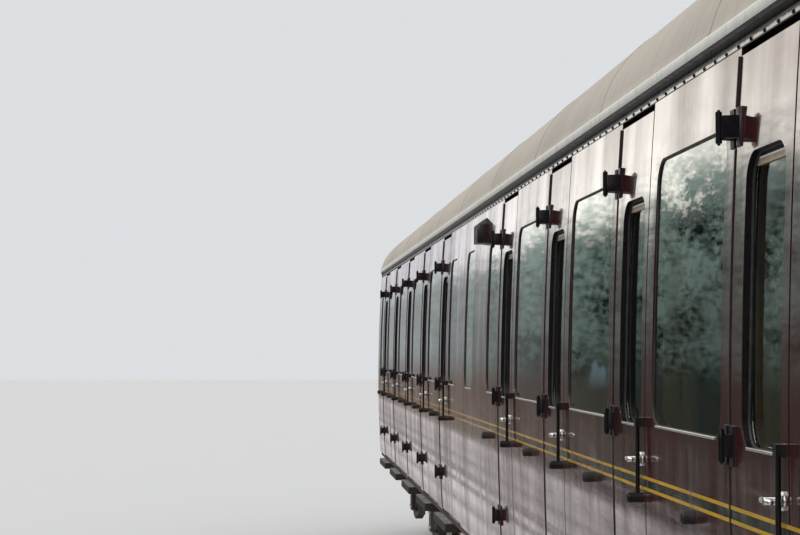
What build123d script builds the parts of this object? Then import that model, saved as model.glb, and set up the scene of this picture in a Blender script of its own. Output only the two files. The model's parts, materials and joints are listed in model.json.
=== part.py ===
from build123d import *
import math
import os

# Slam-door passenger coach with a door to every bay, on two four-wheeled bogies.
# Millimetres. +X is forward, +Y is the left side, +Z is up. The origin is on the coach's centre line,
# half way between its ends, at the lowest point of the wheel flanges.
# Every height below is above rail level; the finished coach is lifted by the flange depth.

# Body shell
BODY_LENGTH = 19425
HALF_WIDTH = 1410
WALL = 45
SIDE_RADIUS = 17000
WIDEST_Z = 1946
SIDE_BOTTOM = 970
SIDE_TOP = 3205
END_WALL = 60

# Roof: a flat crown between two tight shoulders, with a gutter above the cantrail
ROOF_TOP = 3870
CROWN_RADIUS = 3200
SHOULDER_RADIUS = 550
EAVES_Z = 3310
EAVES_INSET = 38
ROOF_THICKNESS = 60
GUTTER_Z = 3262
GUTTER_DEPTH = 38
GUTTER_REACH = 24

# Doors
DOOR_WIDTH = 620
DOOR_BOTTOM = 985
DOOR_TOP = 3180
LATCH_GAP = 13
HINGE_GAP = 8
END_BAY = 1312.5
DOOR_PITCH = BODY_LENGTH / 10.5
END_DOOR = BODY_LENGTH / 2 - END_BAY
SALOON_DOORS = tuple(END_DOOR - bay * DOOR_PITCH for bay in range(5))
COMPARTMENT_DOORS = tuple(bay * DOOR_PITCH - END_DOOR for bay in (3, 2, 1, 0))
DOOR_CENTRES = SALOON_DOORS + COMPARTMENT_DOORS

# Door drop light, its pane set back in a metal-topped frame
DROPLIGHT_WIDTH = 412
DROPLIGHT_SHIFT = 24
DROPLIGHT_BOTTOM = 2000
DROPLIGHT_TOP = 2870
DROPLIGHT_CORNER = 85
DROPLIGHT_RECESS = 32
DROPLIGHT_RAIL = 40

# Slam-door hinges: a tall base plate on the skin, a flared arm out from it, and a barrel on the pin
HINGE_HEIGHTS = (2960, 2000, 1280)
HINGE_REACH = 28
HINGE_ARM_HALF = 34
HINGE_ARM = 20
HINGE_BASE = 8
HINGE_BASE_HALF = 60
HINGE_FACE = 3
HINGE_LEAF = 54
BARREL_HALF = 48
KNUCKLE_RADIUS = 10
KNUCKLE_PLAY = 0.5
KNUCKLE_CLEARANCE = 2
HINGE_PIN_RADIUS = 5
HINGE_PIN_PROUD = 6
SEAT_GAP = 0.3

# Door furniture
HANDLE_Z = 1880
HANDLE_INSET = 52
HANDLE_REACH = 55
HANDLE_BAR = 92
HANDLE_BAR_RADIUS = 8
HANDLE_BOSS_RADIUS = 26
HANDLE_BOSS = 10
HANDLE_SPINDLE_RADIUS = 10
GRAB_BOTTOM = 1740
GRAB_TOP = 2018
GRAB_INSET = 22
GRAB_REACH = 22
GRAB_RADIUS = 8
GRAB_BRACKET = 34
GRAB_FACE = 2
GRAB_BUFFER_RADIUS = 20
GRAB_BUFFER_REACH = 65
GRAB_BUFFER_NOSE = 9
STOP_Z = 1740
STOP_FROM_HINGE = 480
STOP_WIDTH = 34
STOP_HEIGHT = 46
STOP_REACH = 45
STOP_NOSE = 10

# Fixed side windows, by centre and width
WINDOW_BOTTOM = 2010
WINDOW_TOP = 2978
WINDOW_CORNER = 90
GLASS = 6
GLASS_RECESS = 8
WINDOW_PILLAR = 115
PAIR_PILLAR = 110
PAIR_MARGIN = 60
QUARTER_LIGHT = 500
QUARTER_FROM_DOOR = 680
LAVATORY_WINDOW = 490
LARGE_WINDOW = DOOR_PITCH - DOOR_WIDTH - 2 * WINDOW_PILLAR
PAIRED_LIGHT = (DOOR_PITCH - DOOR_WIDTH - PAIR_PILLAR) / 2 - PAIR_MARGIN
PAIRED_LIGHT_OFFSET = (PAIRED_LIGHT + PAIR_PILLAR) / 2
SALOON_WINDOWS_X = tuple(x - DOOR_PITCH / 2 for x in SALOON_DOORS[:4])
COMPARTMENT_WINDOWS_X = tuple(x - DOOR_PITCH / 2 for x in COMPARTMENT_DOORS[:3])
QUARTER_LIGHTS_X = (
    SALOON_DOORS[0] + QUARTER_FROM_DOOR,
    SALOON_DOORS[4] - QUARTER_FROM_DOOR,
    COMPARTMENT_DOORS[0] + QUARTER_FROM_DOOR,
    COMPARTMENT_DOORS[3] - QUARTER_FROM_DOOR,
)
LAVATORY_WINDOW_X = SALOON_DOORS[4] - DOOR_PITCH

# Lavatory vent cowl, on the left side only
VENT_X = COMPARTMENT_DOORS[0] + 0.7 * DOOR_PITCH
VENT_Z = 3080
VENT_WIDTH = 210
VENT_HEIGHT = 180
VENT_REACH = 60

# Floor and inside
FLOOR_TOP = 1200
FLOOR_THICKNESS = 100
FLOOR_HALF_WIDTH = 1335
PARTITION = 30
CORRIDOR_WALL_Y = 640
LAVATORY_WALL_Y = 360
LAVATORY_FRONT = SALOON_DOORS[4] - 0.52 * DOOR_PITCH
LAVATORY_REAR = SALOON_DOORS[4] - 1.24 * DOOR_PITCH
COMPARTMENT_FRONT = COMPARTMENT_DOORS[0] + DOOR_PITCH / 2
COMPARTMENT_X = tuple(COMPARTMENT_FRONT - bay * DOOR_PITCH for bay in range(5))
DOORWAY_WIDTH = 620
DOORWAY_HEIGHT = 1900

# Seats: a cushion and a raked back, in profile
CUSHION_TOP = 440
CUSHION_THICKNESS = 150
CUSHION_DEPTH = 520
BACK_TOP = 1180
BACK_THICKNESS = 110
BACK_RAKE = 70
SEAT_SHIN = 60
SEAT_WALL_GAP = 12
SALOON_FRONT = SALOON_DOORS[0] + DOOR_PITCH / 2
SALOON_SEATS_X = tuple(SALOON_FRONT - bay * DOOR_PITCH for bay in range(6))
AISLE = (-420, -10)

# Luggage racks above the saloon windows and along the compartment partitions
RACK_Z = 3030
RACK_DEPTH = 290
RACK_TUBE = 12
SALOON_RACK = LARGE_WINDOW + 80
COMPARTMENT_RACK = 1500
RACK_BAR_PITCH = 215

# Gangways
GANGWAY_WIDTH = 700
GANGWAY_HEIGHT = 1950
GANGWAY_CORNER = 110
BELLOWS_WALL = 110
BELLOWS_REACH = 380
BELLOWS_FOLDS = 7
FOLD_DEPTH = 34
FACE_PLATE = 40

# Underframe
SOLEBAR_Y = 980
SOLEBAR_WIDTH = 90
SOLEBAR_BOTTOM = 840
SOLEBAR_WEB = 16
SILL_DEPTH = 40
SILL_INNER = 1290
SILL_INSET = 6
BEARER_DEPTH = 90
BEARER_WIDTH = 100
HEADSTOCK = 140
HEADSTOCK_BOTTOM = 830
CENTRE_SILL_Y = 240
TRUSS_DROP = 330
TRUSS_FROM_BOGIE = 2785
TRUSS_RAKE = 2300
TRUSS_BAR = 64

# Footsteps under the doors
STEP_LENGTH = 1000
STEP_INNER = 1180
STEP_OUTER = 1440
STEP_THICKNESS = 70
STEP_ARM = 60

# Buffers and drawgear
BUFFER_Y = 865
BUFFER_Z = 1060
BUFFER_REACH = 520
BUFFER_HEAD_RADIUS = 230
BUFFER_HEAD = 26
BUFFER_BARREL_RADIUS = 105
BUFFER_SHANK_RADIUS = 70
BUFFER_FOOT_RADIUS = 170
BUFFER_FOOT = 24
BUFFER_BARREL = 300
DRAWHOOK_REACH = 300
DRAWHOOK_Z = 960
DRAWHOOK_RADIUS = 95
DRAWHOOK_HALF = 35
DRAWHOOK_SHANK = 90
DRAWHOOK_PLATE = (20, 300, 200)
DRAWHOOK_MOUTH_RADIUS = 42
DRAWHOOK_MOUTH = (10, 20)
DRAWHOOK_GAPE = 60

# Bogies
BOGIE_FROM_END = 2627.5
BOGIE_CENTRES = BODY_LENGTH - 2 * BOGIE_FROM_END
BOGIE_WHEELBASE = 2590
WHEEL_RADIUS = 457
FLANGE_DEPTH = 28
FLANGE_THICKNESS = 32
WHEEL_INNER_Y = 680
TREAD_WIDTH = 135
AXLE_RADIUS = 80
JOURNAL_RADIUS = 60
JOURNAL_END = 1060
JOURNAL_PLAY = 0.3
SIDE_FRAME_Y = 1000
SIDE_FRAME_THICKNESS = 90
SIDE_FRAME_TOP = 760
SIDE_FRAME_DEPTH = 210
BOGIE_LENGTH = 3700
END_BEAM = 60
END_BEAM_DEPTH = 130
HORN = 90
HORN_DROP = 180
HORN_SPREAD = 260
HORN_CROWN = 40
BOLSTER_TOP = 800
BOLSTER_WIDTH = 460
AXLEBOX_SIZE = 250
AXLEBOX_CORNER = 50
AXLEBOX_CAP = 30
SPRING_LEAVES = 7
LEAF_THICKNESS = 14
LEAF_WIDTH = 84
SPRING_SPAN = 900
CENTRE_PLATE_RADIUS = 190
CENTRE_PLATE = 30
SPRING_HANGER = 40
BRAKE_GAP = 10
BRAKE_SHOE = 50
BRAKE_SHOE_WIDTH = 82
BRAKE_SHOE_HEIGHT = 300
BRAKE_BEAM = 60

# Equipment hung under the floor
BATTERY_BOX = (1300, 520, 460)
CYLINDER_RADIUS = 190
CYLINDER_LENGTH = 1300
CYLINDER_DROP = 45
STRAP = 40


def side_y(z, inset=0):
    """Half width of the body at a height, or of a surface set in from it."""
    reach = SIDE_RADIUS - inset
    return HALF_WIDTH - SIDE_RADIUS + math.sqrt(reach**2 - (z - WIDEST_Z) ** 2)


def prism(edges, x0, x1):
    """A closed outline in Y and Z, drawn out along the coach."""
    return extrude(Plane.YZ.offset(x0) * make_face(edges), amount=x1 - x0)


def block(x0, x1, y0, y1, z0, z1):
    """A box between two corners."""
    centre = ((x0 + x1) / 2, (y0 + y1) / 2, (z0 + z1) / 2)
    return Pos(*centre) * Box(abs(x1 - x0), abs(y1 - y0), abs(z1 - z0))


def side_slab(x0, x1, z0, z1, inset, thickness):
    """A piece of the left side: two concentric arcs, drawn out along the coach."""
    mid = (z0 + z1) / 2
    inner = inset + thickness
    edges = [
        ThreePointArc((side_y(z0, inset), z0), (side_y(mid, inset), mid), (side_y(z1, inset), z1)),
        Line((side_y(z1, inset), z1), (side_y(z1, inner), z1)),
        ThreePointArc((side_y(z1, inner), z1), (side_y(mid, inner), mid), (side_y(z0, inner), z0)),
        Line((side_y(z0, inner), z0), (side_y(z0, inset), z0)),
    ]
    return prism(edges, x0, x1)


def side_opening(x, z0, z1, width, corner):
    """A round-cornered prism through the left side."""
    plane = Plane((x, HALF_WIDTH, (z0 + z1) / 2), x_dir=(1, 0, 0), z_dir=(0, 1, 0))
    return extrude(plane * RectangleRounded(width, z1 - z0, corner), amount=4 * WALL, both=True)


def outside_of_side(play=SEAT_GAP):
    """Everything a little inside the outer face of the left side, to cut the backs of fittings to it."""
    centre = Pos(0, HALF_WIDTH - SIDE_RADIUS, WIDEST_Z) * Rot(0, 90, 0)
    return centre * Cylinder(SIDE_RADIUS + play, BODY_LENGTH)


def other_side(shape):
    """The same piece on the right side, at the same place along the coach."""
    return mirror(shape, about=Plane.XZ)


def turned(shape):
    """The same piece on the right side and at the other end."""
    return Rot(0, 0, 180) * shape


def solids_of(shapes):
    """Separate solids that share one node."""
    found = []
    for shape in shapes:
        found.extend(shape.solids())
    return Compound(found)


# Body section

CROWN_CENTRE_Z = ROOF_TOP - CROWN_RADIUS
EAVES_Y = side_y(EAVES_Z) + EAVES_INSET / 2


def shoulder_centre():
    """Centre of the shoulder arc, which meets the crown in a tangent and starts at the eaves."""
    base = math.hypot(EAVES_Y, EAVES_Z - CROWN_CENTRE_Z)
    to_shoulder = CROWN_RADIUS - SHOULDER_RADIUS
    along = (to_shoulder**2 - SHOULDER_RADIUS**2 + base**2) / (2 * base)
    across = math.sqrt(to_shoulder**2 - along**2)
    unit = (EAVES_Y / base, (EAVES_Z - CROWN_CENTRE_Z) / base)
    return (unit[0] * along - unit[1] * across, CROWN_CENTRE_Z + unit[1] * along + unit[0] * across)


SHOULDER_Y, SHOULDER_Z = shoulder_centre()
EAVES_ANGLE = math.atan2(EAVES_Z - SHOULDER_Z, EAVES_Y - SHOULDER_Y)
JOIN_ANGLE = math.atan2(SHOULDER_Z - CROWN_CENTRE_Z, SHOULDER_Y)


def shoulder_point(angle, inset):
    """A point of the left shoulder, on the outer skin or set in from it."""
    reach = SHOULDER_RADIUS - inset
    return (SHOULDER_Y + reach * math.cos(angle), SHOULDER_Z + reach * math.sin(angle))


def roof_arcs(inset):
    """Shoulder, crown and shoulder, from the left eaves to the right."""
    low = shoulder_point(EAVES_ANGLE, inset)
    mid = shoulder_point((EAVES_ANGLE + JOIN_ANGLE) / 2, inset)
    high = shoulder_point(JOIN_ANGLE, inset)
    left = ThreePointArc(low, mid, high)
    crown = ThreePointArc(high, (0, ROOF_TOP - inset), (-high[0], high[1]))
    right = ThreePointArc((-high[0], high[1]), (-mid[0], mid[1]), (-low[0], low[1]))
    return [left, crown, right]


def body_section(inset, bottom, roof_inset):
    """The closed section of the body, set in from its outer faces."""
    mid = (bottom + SIDE_TOP) / 2
    low_y, mid_y, high_y = side_y(bottom, inset), side_y(mid, inset), side_y(SIDE_TOP, inset)
    eaves_y, eaves_z = shoulder_point(EAVES_ANGLE, roof_inset)
    return [
        ThreePointArc((low_y, bottom), (mid_y, mid), (high_y, SIDE_TOP)),
        Line((high_y, SIDE_TOP), (eaves_y, eaves_z)),
        *roof_arcs(roof_inset),
        Line((-eaves_y, eaves_z), (-high_y, SIDE_TOP)),
        ThreePointArc((-high_y, SIDE_TOP), (-mid_y, mid), (-low_y, bottom)),
        Line((-low_y, bottom), (low_y, bottom)),
    ]


INSIDE = BODY_LENGTH / 2 - END_WALL


def roof():
    """The roof with its ceiling, cantrails and gutters, drawn out between the end walls."""
    inner_y, inner_z = shoulder_point(EAVES_ANGLE, ROOF_THICKNESS)
    lip_y = side_y(GUTTER_Z) + GUTTER_REACH
    outer = [
        (side_y(SIDE_TOP, WALL), SIDE_TOP),
        (side_y(SIDE_TOP), SIDE_TOP),
        (side_y(GUTTER_Z), GUTTER_Z),
        (lip_y, GUTTER_Z),
        (lip_y, GUTTER_Z + GUTTER_DEPTH),
        (EAVES_Y, EAVES_Z),
    ]
    left = Polyline(*outer)
    right = Polyline(*[(-y, z) for y, z in outer])
    edges = [
        *left.edges(),
        *roof_arcs(0),
        *right.edges(),
        Line(right @ 0, (-inner_y, inner_z)),
        *roof_arcs(ROOF_THICKNESS),
        Line((inner_y, inner_z), left @ 0),
    ]
    return prism(edges, -INSIDE, INSIDE)


def end_wall():
    """The front end wall: the whole section of the body, with the gangway's opening."""
    wall = prism(body_section(0, SIDE_BOTTOM, 0), INSIDE, BODY_LENGTH / 2)
    return wall - gangway_bore(INSIDE - END_WALL, BODY_LENGTH / 2 + END_WALL)


def gangway_bore(x0, x1, grow=0):
    """The passage through the gangway, square at the floor and rounded above."""
    half = GANGWAY_WIDTH / 2 + grow
    top = FLOOR_TOP + GANGWAY_HEIGHT + grow
    corner = GANGWAY_CORNER + grow
    outline = FilletPolyline(
        (half, FLOOR_TOP - grow), (half, top), (-half, top), (-half, FLOOR_TOP - grow), radius=corner
    )
    return prism([*outline.edges(), Line(outline @ 1, outline @ 0)], x0, x1)


def gangway():
    """Front gangway: pleated bellows between the end wall and a flat face plate."""
    start = BODY_LENGTH / 2
    end = start + BELLOWS_REACH
    pleat = (BELLOWS_REACH - FACE_PLATE) / BELLOWS_FOLDS
    tube = gangway_bore(start, end, BELLOWS_WALL - FOLD_DEPTH)
    for fold in range(BELLOWS_FOLDS):
        centre = start + (fold + 0.5) * pleat
        tube += gangway_bore(centre - pleat / 4, centre + pleat / 4, BELLOWS_WALL)
    tube += gangway_bore(end - FACE_PLATE, end, BELLOWS_WALL)
    return tube - gangway_bore(start - 1, end + 1)


# Sides

def bay_edges():
    """Ends of each side panel, from the front end wall back to the rear one."""
    marks = [INSIDE]
    for centre in DOOR_CENTRES:
        marks += [centre + DOOR_WIDTH / 2, centre - DOOR_WIDTH / 2]
    marks.append(-INSIDE)
    return [(marks[i + 1], marks[i]) for i in range(0, len(marks), 2)]


def side_windows(side):
    """Centre and width of each fixed window on one side (1 left, -1 right)."""
    windows = [(x, LARGE_WINDOW) for x in SALOON_WINDOWS_X]
    windows += [(x, QUARTER_LIGHT) for x in QUARTER_LIGHTS_X]
    windows.append((LAVATORY_WINDOW_X, LAVATORY_WINDOW))
    for x in COMPARTMENT_WINDOWS_X:
        if side > 0:
            windows.append((x, LARGE_WINDOW))
        else:
            windows += [(x - PAIRED_LIGHT_OFFSET, PAIRED_LIGHT), (x + PAIRED_LIGHT_OFFSET, PAIRED_LIGHT)]
    return windows


def side_panels(side):
    """The ten panels between the doors of one side, with their windows cut, drawn on the left."""
    panels = []
    for rear, front in bay_edges():
        panel = side_slab(rear, front, SIDE_BOTTOM, SIDE_TOP, 0, WALL)
        for x, width in side_windows(side):
            if rear < x < front:
                panel -= side_opening(x, WINDOW_BOTTOM, WINDOW_TOP, width, WINDOW_CORNER)
        if side > 0 and rear < VENT_X < front:
            panel += vent_cowl()
        panels.append(panel)
    return panels


def vent_cowl():
    """Square cowl over the lavatory vent, its underside open to the air."""
    low, high = VENT_Z - VENT_HEIGHT / 2, VENT_Z + VENT_HEIGHT / 2
    face = side_y(VENT_Z)
    outline = Polyline(
        (face - WALL / 2, low),
        (face + VENT_REACH, low),
        (face + VENT_REACH, high - VENT_REACH),
        (face - WALL / 2, high),
        close=True,
    )
    return prism(outline.edges(), VENT_X - VENT_WIDTH / 2, VENT_X + VENT_WIDTH / 2)


def window_panes(side):
    """Fixed panes of one side, each set in its own opening, drawn on the left."""
    panes = []
    for x, width in side_windows(side):
        slab = side_slab(x - width, x + width, WINDOW_BOTTOM - WALL, WINDOW_TOP + WALL, GLASS_RECESS, GLASS)
        low, high = WINDOW_BOTTOM + SEAT_GAP, WINDOW_TOP - SEAT_GAP
        panes.append(slab & side_opening(x, low, high, width - 2 * SEAT_GAP, WINDOW_CORNER - SEAT_GAP))
    return panes


# Doors, drawn on the left side about the middle of their opening, with the hinges forward

HINGE_X = DOOR_WIDTH / 2 - HINGE_GAP / 2
HINGE_Y = HALF_WIDTH + HINGE_REACH
DROPLIGHT_X = HINGE_X - DROPLIGHT_SHIFT - DOOR_WIDTH / 2
LATCH_X = LATCH_GAP - DOOR_WIDTH / 2


def hinge_half(z, knuckles, hand):
    """One half of a hinge: base plate, flared arm and knuckles. hand is 1 for the body's half."""
    skin = side_y(z) - HINGE_Y
    root, face = skin - WALL / 3, skin + HINGE_BASE
    near, far = KNUCKLE_RADIUS + KNUCKLE_CLEARANCE, HINGE_GAP / 2 + HINGE_LEAF
    low_z, high_z = z - HINGE_ARM_HALF, z + HINGE_ARM_HALF
    tip = near + HINGE_ARM
    plan = Polyline((near, root), (far, root), (tip, -HINGE_FACE), (near, -HINGE_FACE), close=True)
    half = extrude(Plane.XY.offset(low_z) * make_face(plan.edges()), amount=high_z - low_z)
    half += block(near, far, root, face, z - HINGE_BASE_HALF, z + HINGE_BASE_HALF)
    for low, high in knuckles:
        half += block(0, near, -KNUCKLE_RADIUS, -HINGE_FACE, max(low, low_z), min(high, high_z))
        half += Pos(0, 0, (low + high) / 2) * Cylinder(KNUCKLE_RADIUS, high - low)
    if hand < 0:
        half = mirror(half, about=Plane.YZ)
    return Pos(HINGE_X, HINGE_Y, 0) * half


def hinge_brackets():
    """The body's halves of a door's three hinges, with their pins."""
    skin = outside_of_side()
    brackets = []
    for z in HINGE_HEIGHTS:
        middle = BARREL_HALF / 3 + KNUCKLE_PLAY
        bracket = hinge_half(z, ((z - BARREL_HALF, z - middle), (z + middle, z + BARREL_HALF)), 1) - skin
        for end in (z - BARREL_HALF - HINGE_PIN_PROUD / 2, z + BARREL_HALF + HINGE_PIN_PROUD / 2):
            bracket += Pos(HINGE_X, HINGE_Y, end) * Cylinder(HINGE_PIN_RADIUS, HINGE_PIN_PROUD)
        brackets.append(bracket)
    return brackets


def grab_handle():
    """Vertical commode handle at the latch edge, from a small top bracket down to a domed buffer."""
    x = LATCH_X + GRAB_INSET
    middle, height = (GRAB_BOTTOM + GRAB_TOP) / 2, GRAB_TOP - GRAB_BOTTOM
    y = side_y(middle) + GRAB_REACH
    half = GRAB_BRACKET / 2
    root = side_y(GRAB_TOP) - WALL / 3
    bracket = block(x - half, x + half, root, y + GRAB_RADIUS + GRAB_FACE, GRAB_TOP - half, GRAB_TOP + half)
    plane = Plane((x, side_y(GRAB_BOTTOM) - WALL / 3, GRAB_BOTTOM), x_dir=(1, 0, 0), z_dir=(0, 1, 0))
    nose = extrude(plane * Circle(GRAB_BUFFER_RADIUS), amount=WALL / 3 + GRAB_BUFFER_REACH)
    nose = fillet(nose.edges().group_by(Axis.Y)[-1], radius=GRAB_BUFFER_NOSE)
    return Pos(x, y, middle) * Cylinder(GRAB_RADIUS, height) + bracket + nose


def t_handle():
    """Turning T-handle: a round boss, a spindle and a crossbar."""
    x = LATCH_X + HANDLE_INSET
    face = side_y(HANDLE_Z)
    tip = face + HANDLE_REACH
    along_y = Rot(90, 0, 0)
    boss = Pos(x, face, HANDLE_Z) * along_y * Cylinder(HANDLE_BOSS_RADIUS, 2 * HANDLE_BOSS)
    spindle = Pos(x, (face + tip) / 2, HANDLE_Z) * along_y * Cylinder(HANDLE_SPINDLE_RADIUS, tip - face)
    bar = Rot(0, 90, 0) * Cylinder(HANDLE_BAR_RADIUS, HANDLE_BAR)
    return boss + spindle + Pos(x, tip - HANDLE_BAR_RADIUS, HANDLE_Z) * bar


def door_leaf():
    """The curved leaf with its window cut, its hinge leaves and its handles."""
    front = DOOR_WIDTH / 2 - HINGE_GAP
    leaf = side_slab(LATCH_X, front, DOOR_BOTTOM, DOOR_TOP, 0, WALL)
    leaf -= side_opening(DROPLIGHT_X, DROPLIGHT_BOTTOM, DROPLIGHT_TOP, DROPLIGHT_WIDTH, DROPLIGHT_CORNER)
    for z in HINGE_HEIGHTS:
        leaf += hinge_half(z, ((z - BARREL_HALF / 3, z + BARREL_HALF / 3),), -1)
    return leaf + grab_handle() + t_handle()


def door_pane():
    """The drop light: a pane with a metal rail along its top edge."""
    low, high = DROPLIGHT_BOTTOM + SEAT_GAP, DROPLIGHT_TOP - SEAT_GAP
    width, corner = DROPLIGHT_WIDTH - 2 * SEAT_GAP, DROPLIGHT_CORNER - SEAT_GAP
    opening = side_opening(DROPLIGHT_X, low, high, width, corner)
    span = (DROPLIGHT_X - DROPLIGHT_WIDTH, DROPLIGHT_X + DROPLIGHT_WIDTH)
    pane = side_slab(*span, low - WALL, high + WALL, DROPLIGHT_RECESS, GLASS)
    rail = side_slab(*span, high - DROPLIGHT_RAIL, high + WALL, DROPLIGHT_RECESS - GLASS, 3 * GLASS)
    return (pane + rail) & opening


def door_stop():
    """Oval rubber stop, its nose rounded, on the panel that the opened door comes back to."""
    x = HINGE_X + STOP_FROM_HINGE
    face = side_y(STOP_Z)
    plane = Plane((x, face - WALL, STOP_Z), x_dir=(1, 0, 0), z_dir=(0, 1, 0))
    stop = extrude(plane * Ellipse(STOP_WIDTH / 2, STOP_HEIGHT / 2), amount=WALL + STOP_REACH)
    stop = fillet(stop.edges().group_by(Axis.Y)[-1], radius=STOP_NOSE)
    return stop - outside_of_side()


# Inside

def inside_piece(x0, x1, y0, y1):
    """A wall between the floor and the ceiling, cut to the inside of the body."""
    section = body_section(WALL + SEAT_GAP, FLOOR_TOP, ROOF_THICKNESS + SEAT_GAP)
    return prism(section, x0, x1) & block(x0, x1, y0, y1, 0, ROOF_TOP)


def partitions():
    """Walls of the first-class compartments, their side corridor and the two lavatories."""
    far = HALF_WIDTH
    wall, thick = CORRIDOR_WALL_Y - PARTITION, PARTITION
    walls = [inside_piece(x - thick / 2, x + thick / 2, -far, wall + thick) for x in COMPARTMENT_X]
    for front, rear in zip(COMPARTMENT_X, COMPARTMENT_X[1:]):
        corridor_side = inside_piece(rear + thick / 2, front - thick / 2, wall, wall + thick)
        middle = (front + rear) / 2
        doorway = (middle - DOORWAY_WIDTH / 2, middle + DOORWAY_WIDTH / 2)
        walls.append(corridor_side - block(*doorway, 0, far, 0, FLOOR_TOP + DOORWAY_HEIGHT))
    for x in (LAVATORY_FRONT, LAVATORY_REAR):
        walls.append(inside_piece(x - thick, x, LAVATORY_WALL_Y, far))
    walls.append(inside_piece(LAVATORY_FRONT - thick, LAVATORY_FRONT, -far, -LAVATORY_WALL_Y))
    lavatories = ((LAVATORY_WALL_Y, LAVATORY_REAR), (thick - LAVATORY_WALL_Y, COMPARTMENT_X[0] + thick / 2))
    for y, rear in lavatories:
        walls.append(inside_piece(rear, LAVATORY_FRONT - thick, y - thick, y))
    return walls


def seat(x, facing, y0, y1):
    """A seat against an upright at x, facing forward (1) or back (-1)."""
    floor = FLOOR_TOP
    cushion = floor + CUSHION_TOP
    outline = Polyline(
        (0, floor + BACK_TOP),
        (BACK_THICKNESS / 2, floor + BACK_TOP),
        (BACK_THICKNESS + BACK_RAKE, cushion),
        (BACK_RAKE + CUSHION_DEPTH, cushion),
        (BACK_RAKE + CUSHION_DEPTH, cushion - CUSHION_THICKNESS),
        (BACK_RAKE + CUSHION_DEPTH - SEAT_SHIN, cushion - CUSHION_THICKNESS),
        (BACK_RAKE + CUSHION_DEPTH - SEAT_SHIN, floor),
        (0, floor),
        close=True,
    )
    plane = Plane((x, y0, 0), x_dir=(facing, 0, 0), z_dir=(0, -facing, 0))
    return extrude(plane * make_face(outline.edges()), amount=-facing * (y1 - y0))


def seats():
    """Saloon benches either side of the aisle, and compartment benches against the partitions."""
    reach = side_y(FLOOR_TOP, WALL) - SEAT_WALL_GAP
    benches = []
    for x in SALOON_SEATS_X:
        for y0, y1 in ((-reach, AISLE[0]), (AISLE[1], reach)):
            if x < SALOON_SEATS_X[0]:
                benches.append(seat(x, 1, y0, y1))
            if x > SALOON_SEATS_X[-1]:
                benches.append(seat(x - SEAT_GAP, -1, y0, y1))
    corridor = CORRIDOR_WALL_Y - PARTITION - SEAT_GAP
    for x in COMPARTMENT_X:
        if x > COMPARTMENT_X[-1]:
            benches.append(seat(x - PARTITION / 2 - SEAT_GAP, -1, -reach, corridor))
        if x < COMPARTMENT_X[0]:
            benches.append(seat(x + PARTITION / 2 + SEAT_GAP, 1, -reach, corridor))
    return benches


def luggage_rack(length):
    """A tube rack along X against a wall at Y = 0: two rails and cross bars."""
    tube = RACK_TUBE
    back, front = -tube / 2 - SEAT_GAP, -RACK_DEPTH
    rail = Rot(0, 90, 0) * Cylinder(tube / 2, length)
    pieces = [Pos(0, back, RACK_Z) * rail, Pos(0, front, RACK_Z) * rail]
    cross_bar = Rot(90, 0, 0) * Cylinder(tube / 3, back - front)
    count = round(length / RACK_BAR_PITCH)
    pitch = (length - tube) / count
    for bar in range(count + 1):
        at = tube / 2 - length / 2 + bar * pitch
        pieces.append(Pos(at, (back + front) / 2, RACK_Z) * cross_bar)
    return Part() + pieces


def luggage_racks():
    """Racks above the saloon windows on both sides, and on both sides of the compartment partitions."""
    wall = side_y(RACK_Z + RACK_TUBE / 2, WALL)
    saloon, compartment = luggage_rack(SALOON_RACK), luggage_rack(COMPARTMENT_RACK)
    racks = []
    for x in SALOON_WINDOWS_X:
        racks += [Pos(x, wall, 0) * saloon, Pos(x, -wall, 0) * Rot(0, 0, 180) * saloon]
    middle = CORRIDOR_WALL_Y - PARTITION - RACK_DEPTH / 2 - COMPARTMENT_RACK / 2
    for x in COMPARTMENT_X:
        if x > COMPARTMENT_X[-1]:
            racks.append(Pos(x - PARTITION / 2, middle, 0) * Rot(0, 0, -90) * compartment)
        if x < COMPARTMENT_X[0]:
            racks.append(Pos(x + PARTITION / 2, middle, 0) * Rot(0, 0, 90) * compartment)
    return racks


# Underframe

def channel(x0, x1, y, z0, z1, facing):
    """A channel along the coach, open towards facing (1 left, -1 right)."""
    solid = block(x0, x1, y, y + facing * SOLEBAR_WIDTH, z0, z1)
    inner, outer = y + facing * SOLEBAR_WEB, y + facing * (SOLEBAR_WIDTH + 1)
    return solid - block(x0 - 1, x1 + 1, inner, outer, z0 + SOLEBAR_WEB, z1 - SOLEBAR_WEB)


def truss():
    """Trussing under the left solebar between the bogies: raking ends and a flat bottom bar."""
    low = SOLEBAR_BOTTOM - TRUSS_DROP
    half_top = BOGIE_CENTRES / 2 - TRUSS_FROM_BOGIE
    half_low = half_top - TRUSS_RAKE
    outline = Polyline(
        (-half_top, SOLEBAR_BOTTOM),
        (-half_low, low),
        (half_low, low),
        (half_top, SOLEBAR_BOTTOM),
        (half_top - 2 * TRUSS_BAR, SOLEBAR_BOTTOM),
        (half_low - TRUSS_BAR / 2, low + TRUSS_BAR),
        (TRUSS_BAR / 2 - half_low, low + TRUSS_BAR),
        (2 * TRUSS_BAR - half_top, SOLEBAR_BOTTOM),
        close=True,
    )
    plane = Plane((0, SOLEBAR_Y, 0), x_dir=(1, 0, 0), z_dir=(0, -1, 0))
    pieces = [extrude(plane * make_face(outline.edges()), amount=-TRUSS_BAR)]
    outer = SOLEBAR_Y + TRUSS_BAR
    for x in (-half_low, 0, half_low):
        post = (x - TRUSS_BAR / 2, x + TRUSS_BAR / 2)
        pieces.append(block(*post, SOLEBAR_Y, outer, low + TRUSS_BAR / 2, SOLEBAR_BOTTOM + SOLEBAR_WEB))
    return pieces


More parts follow.
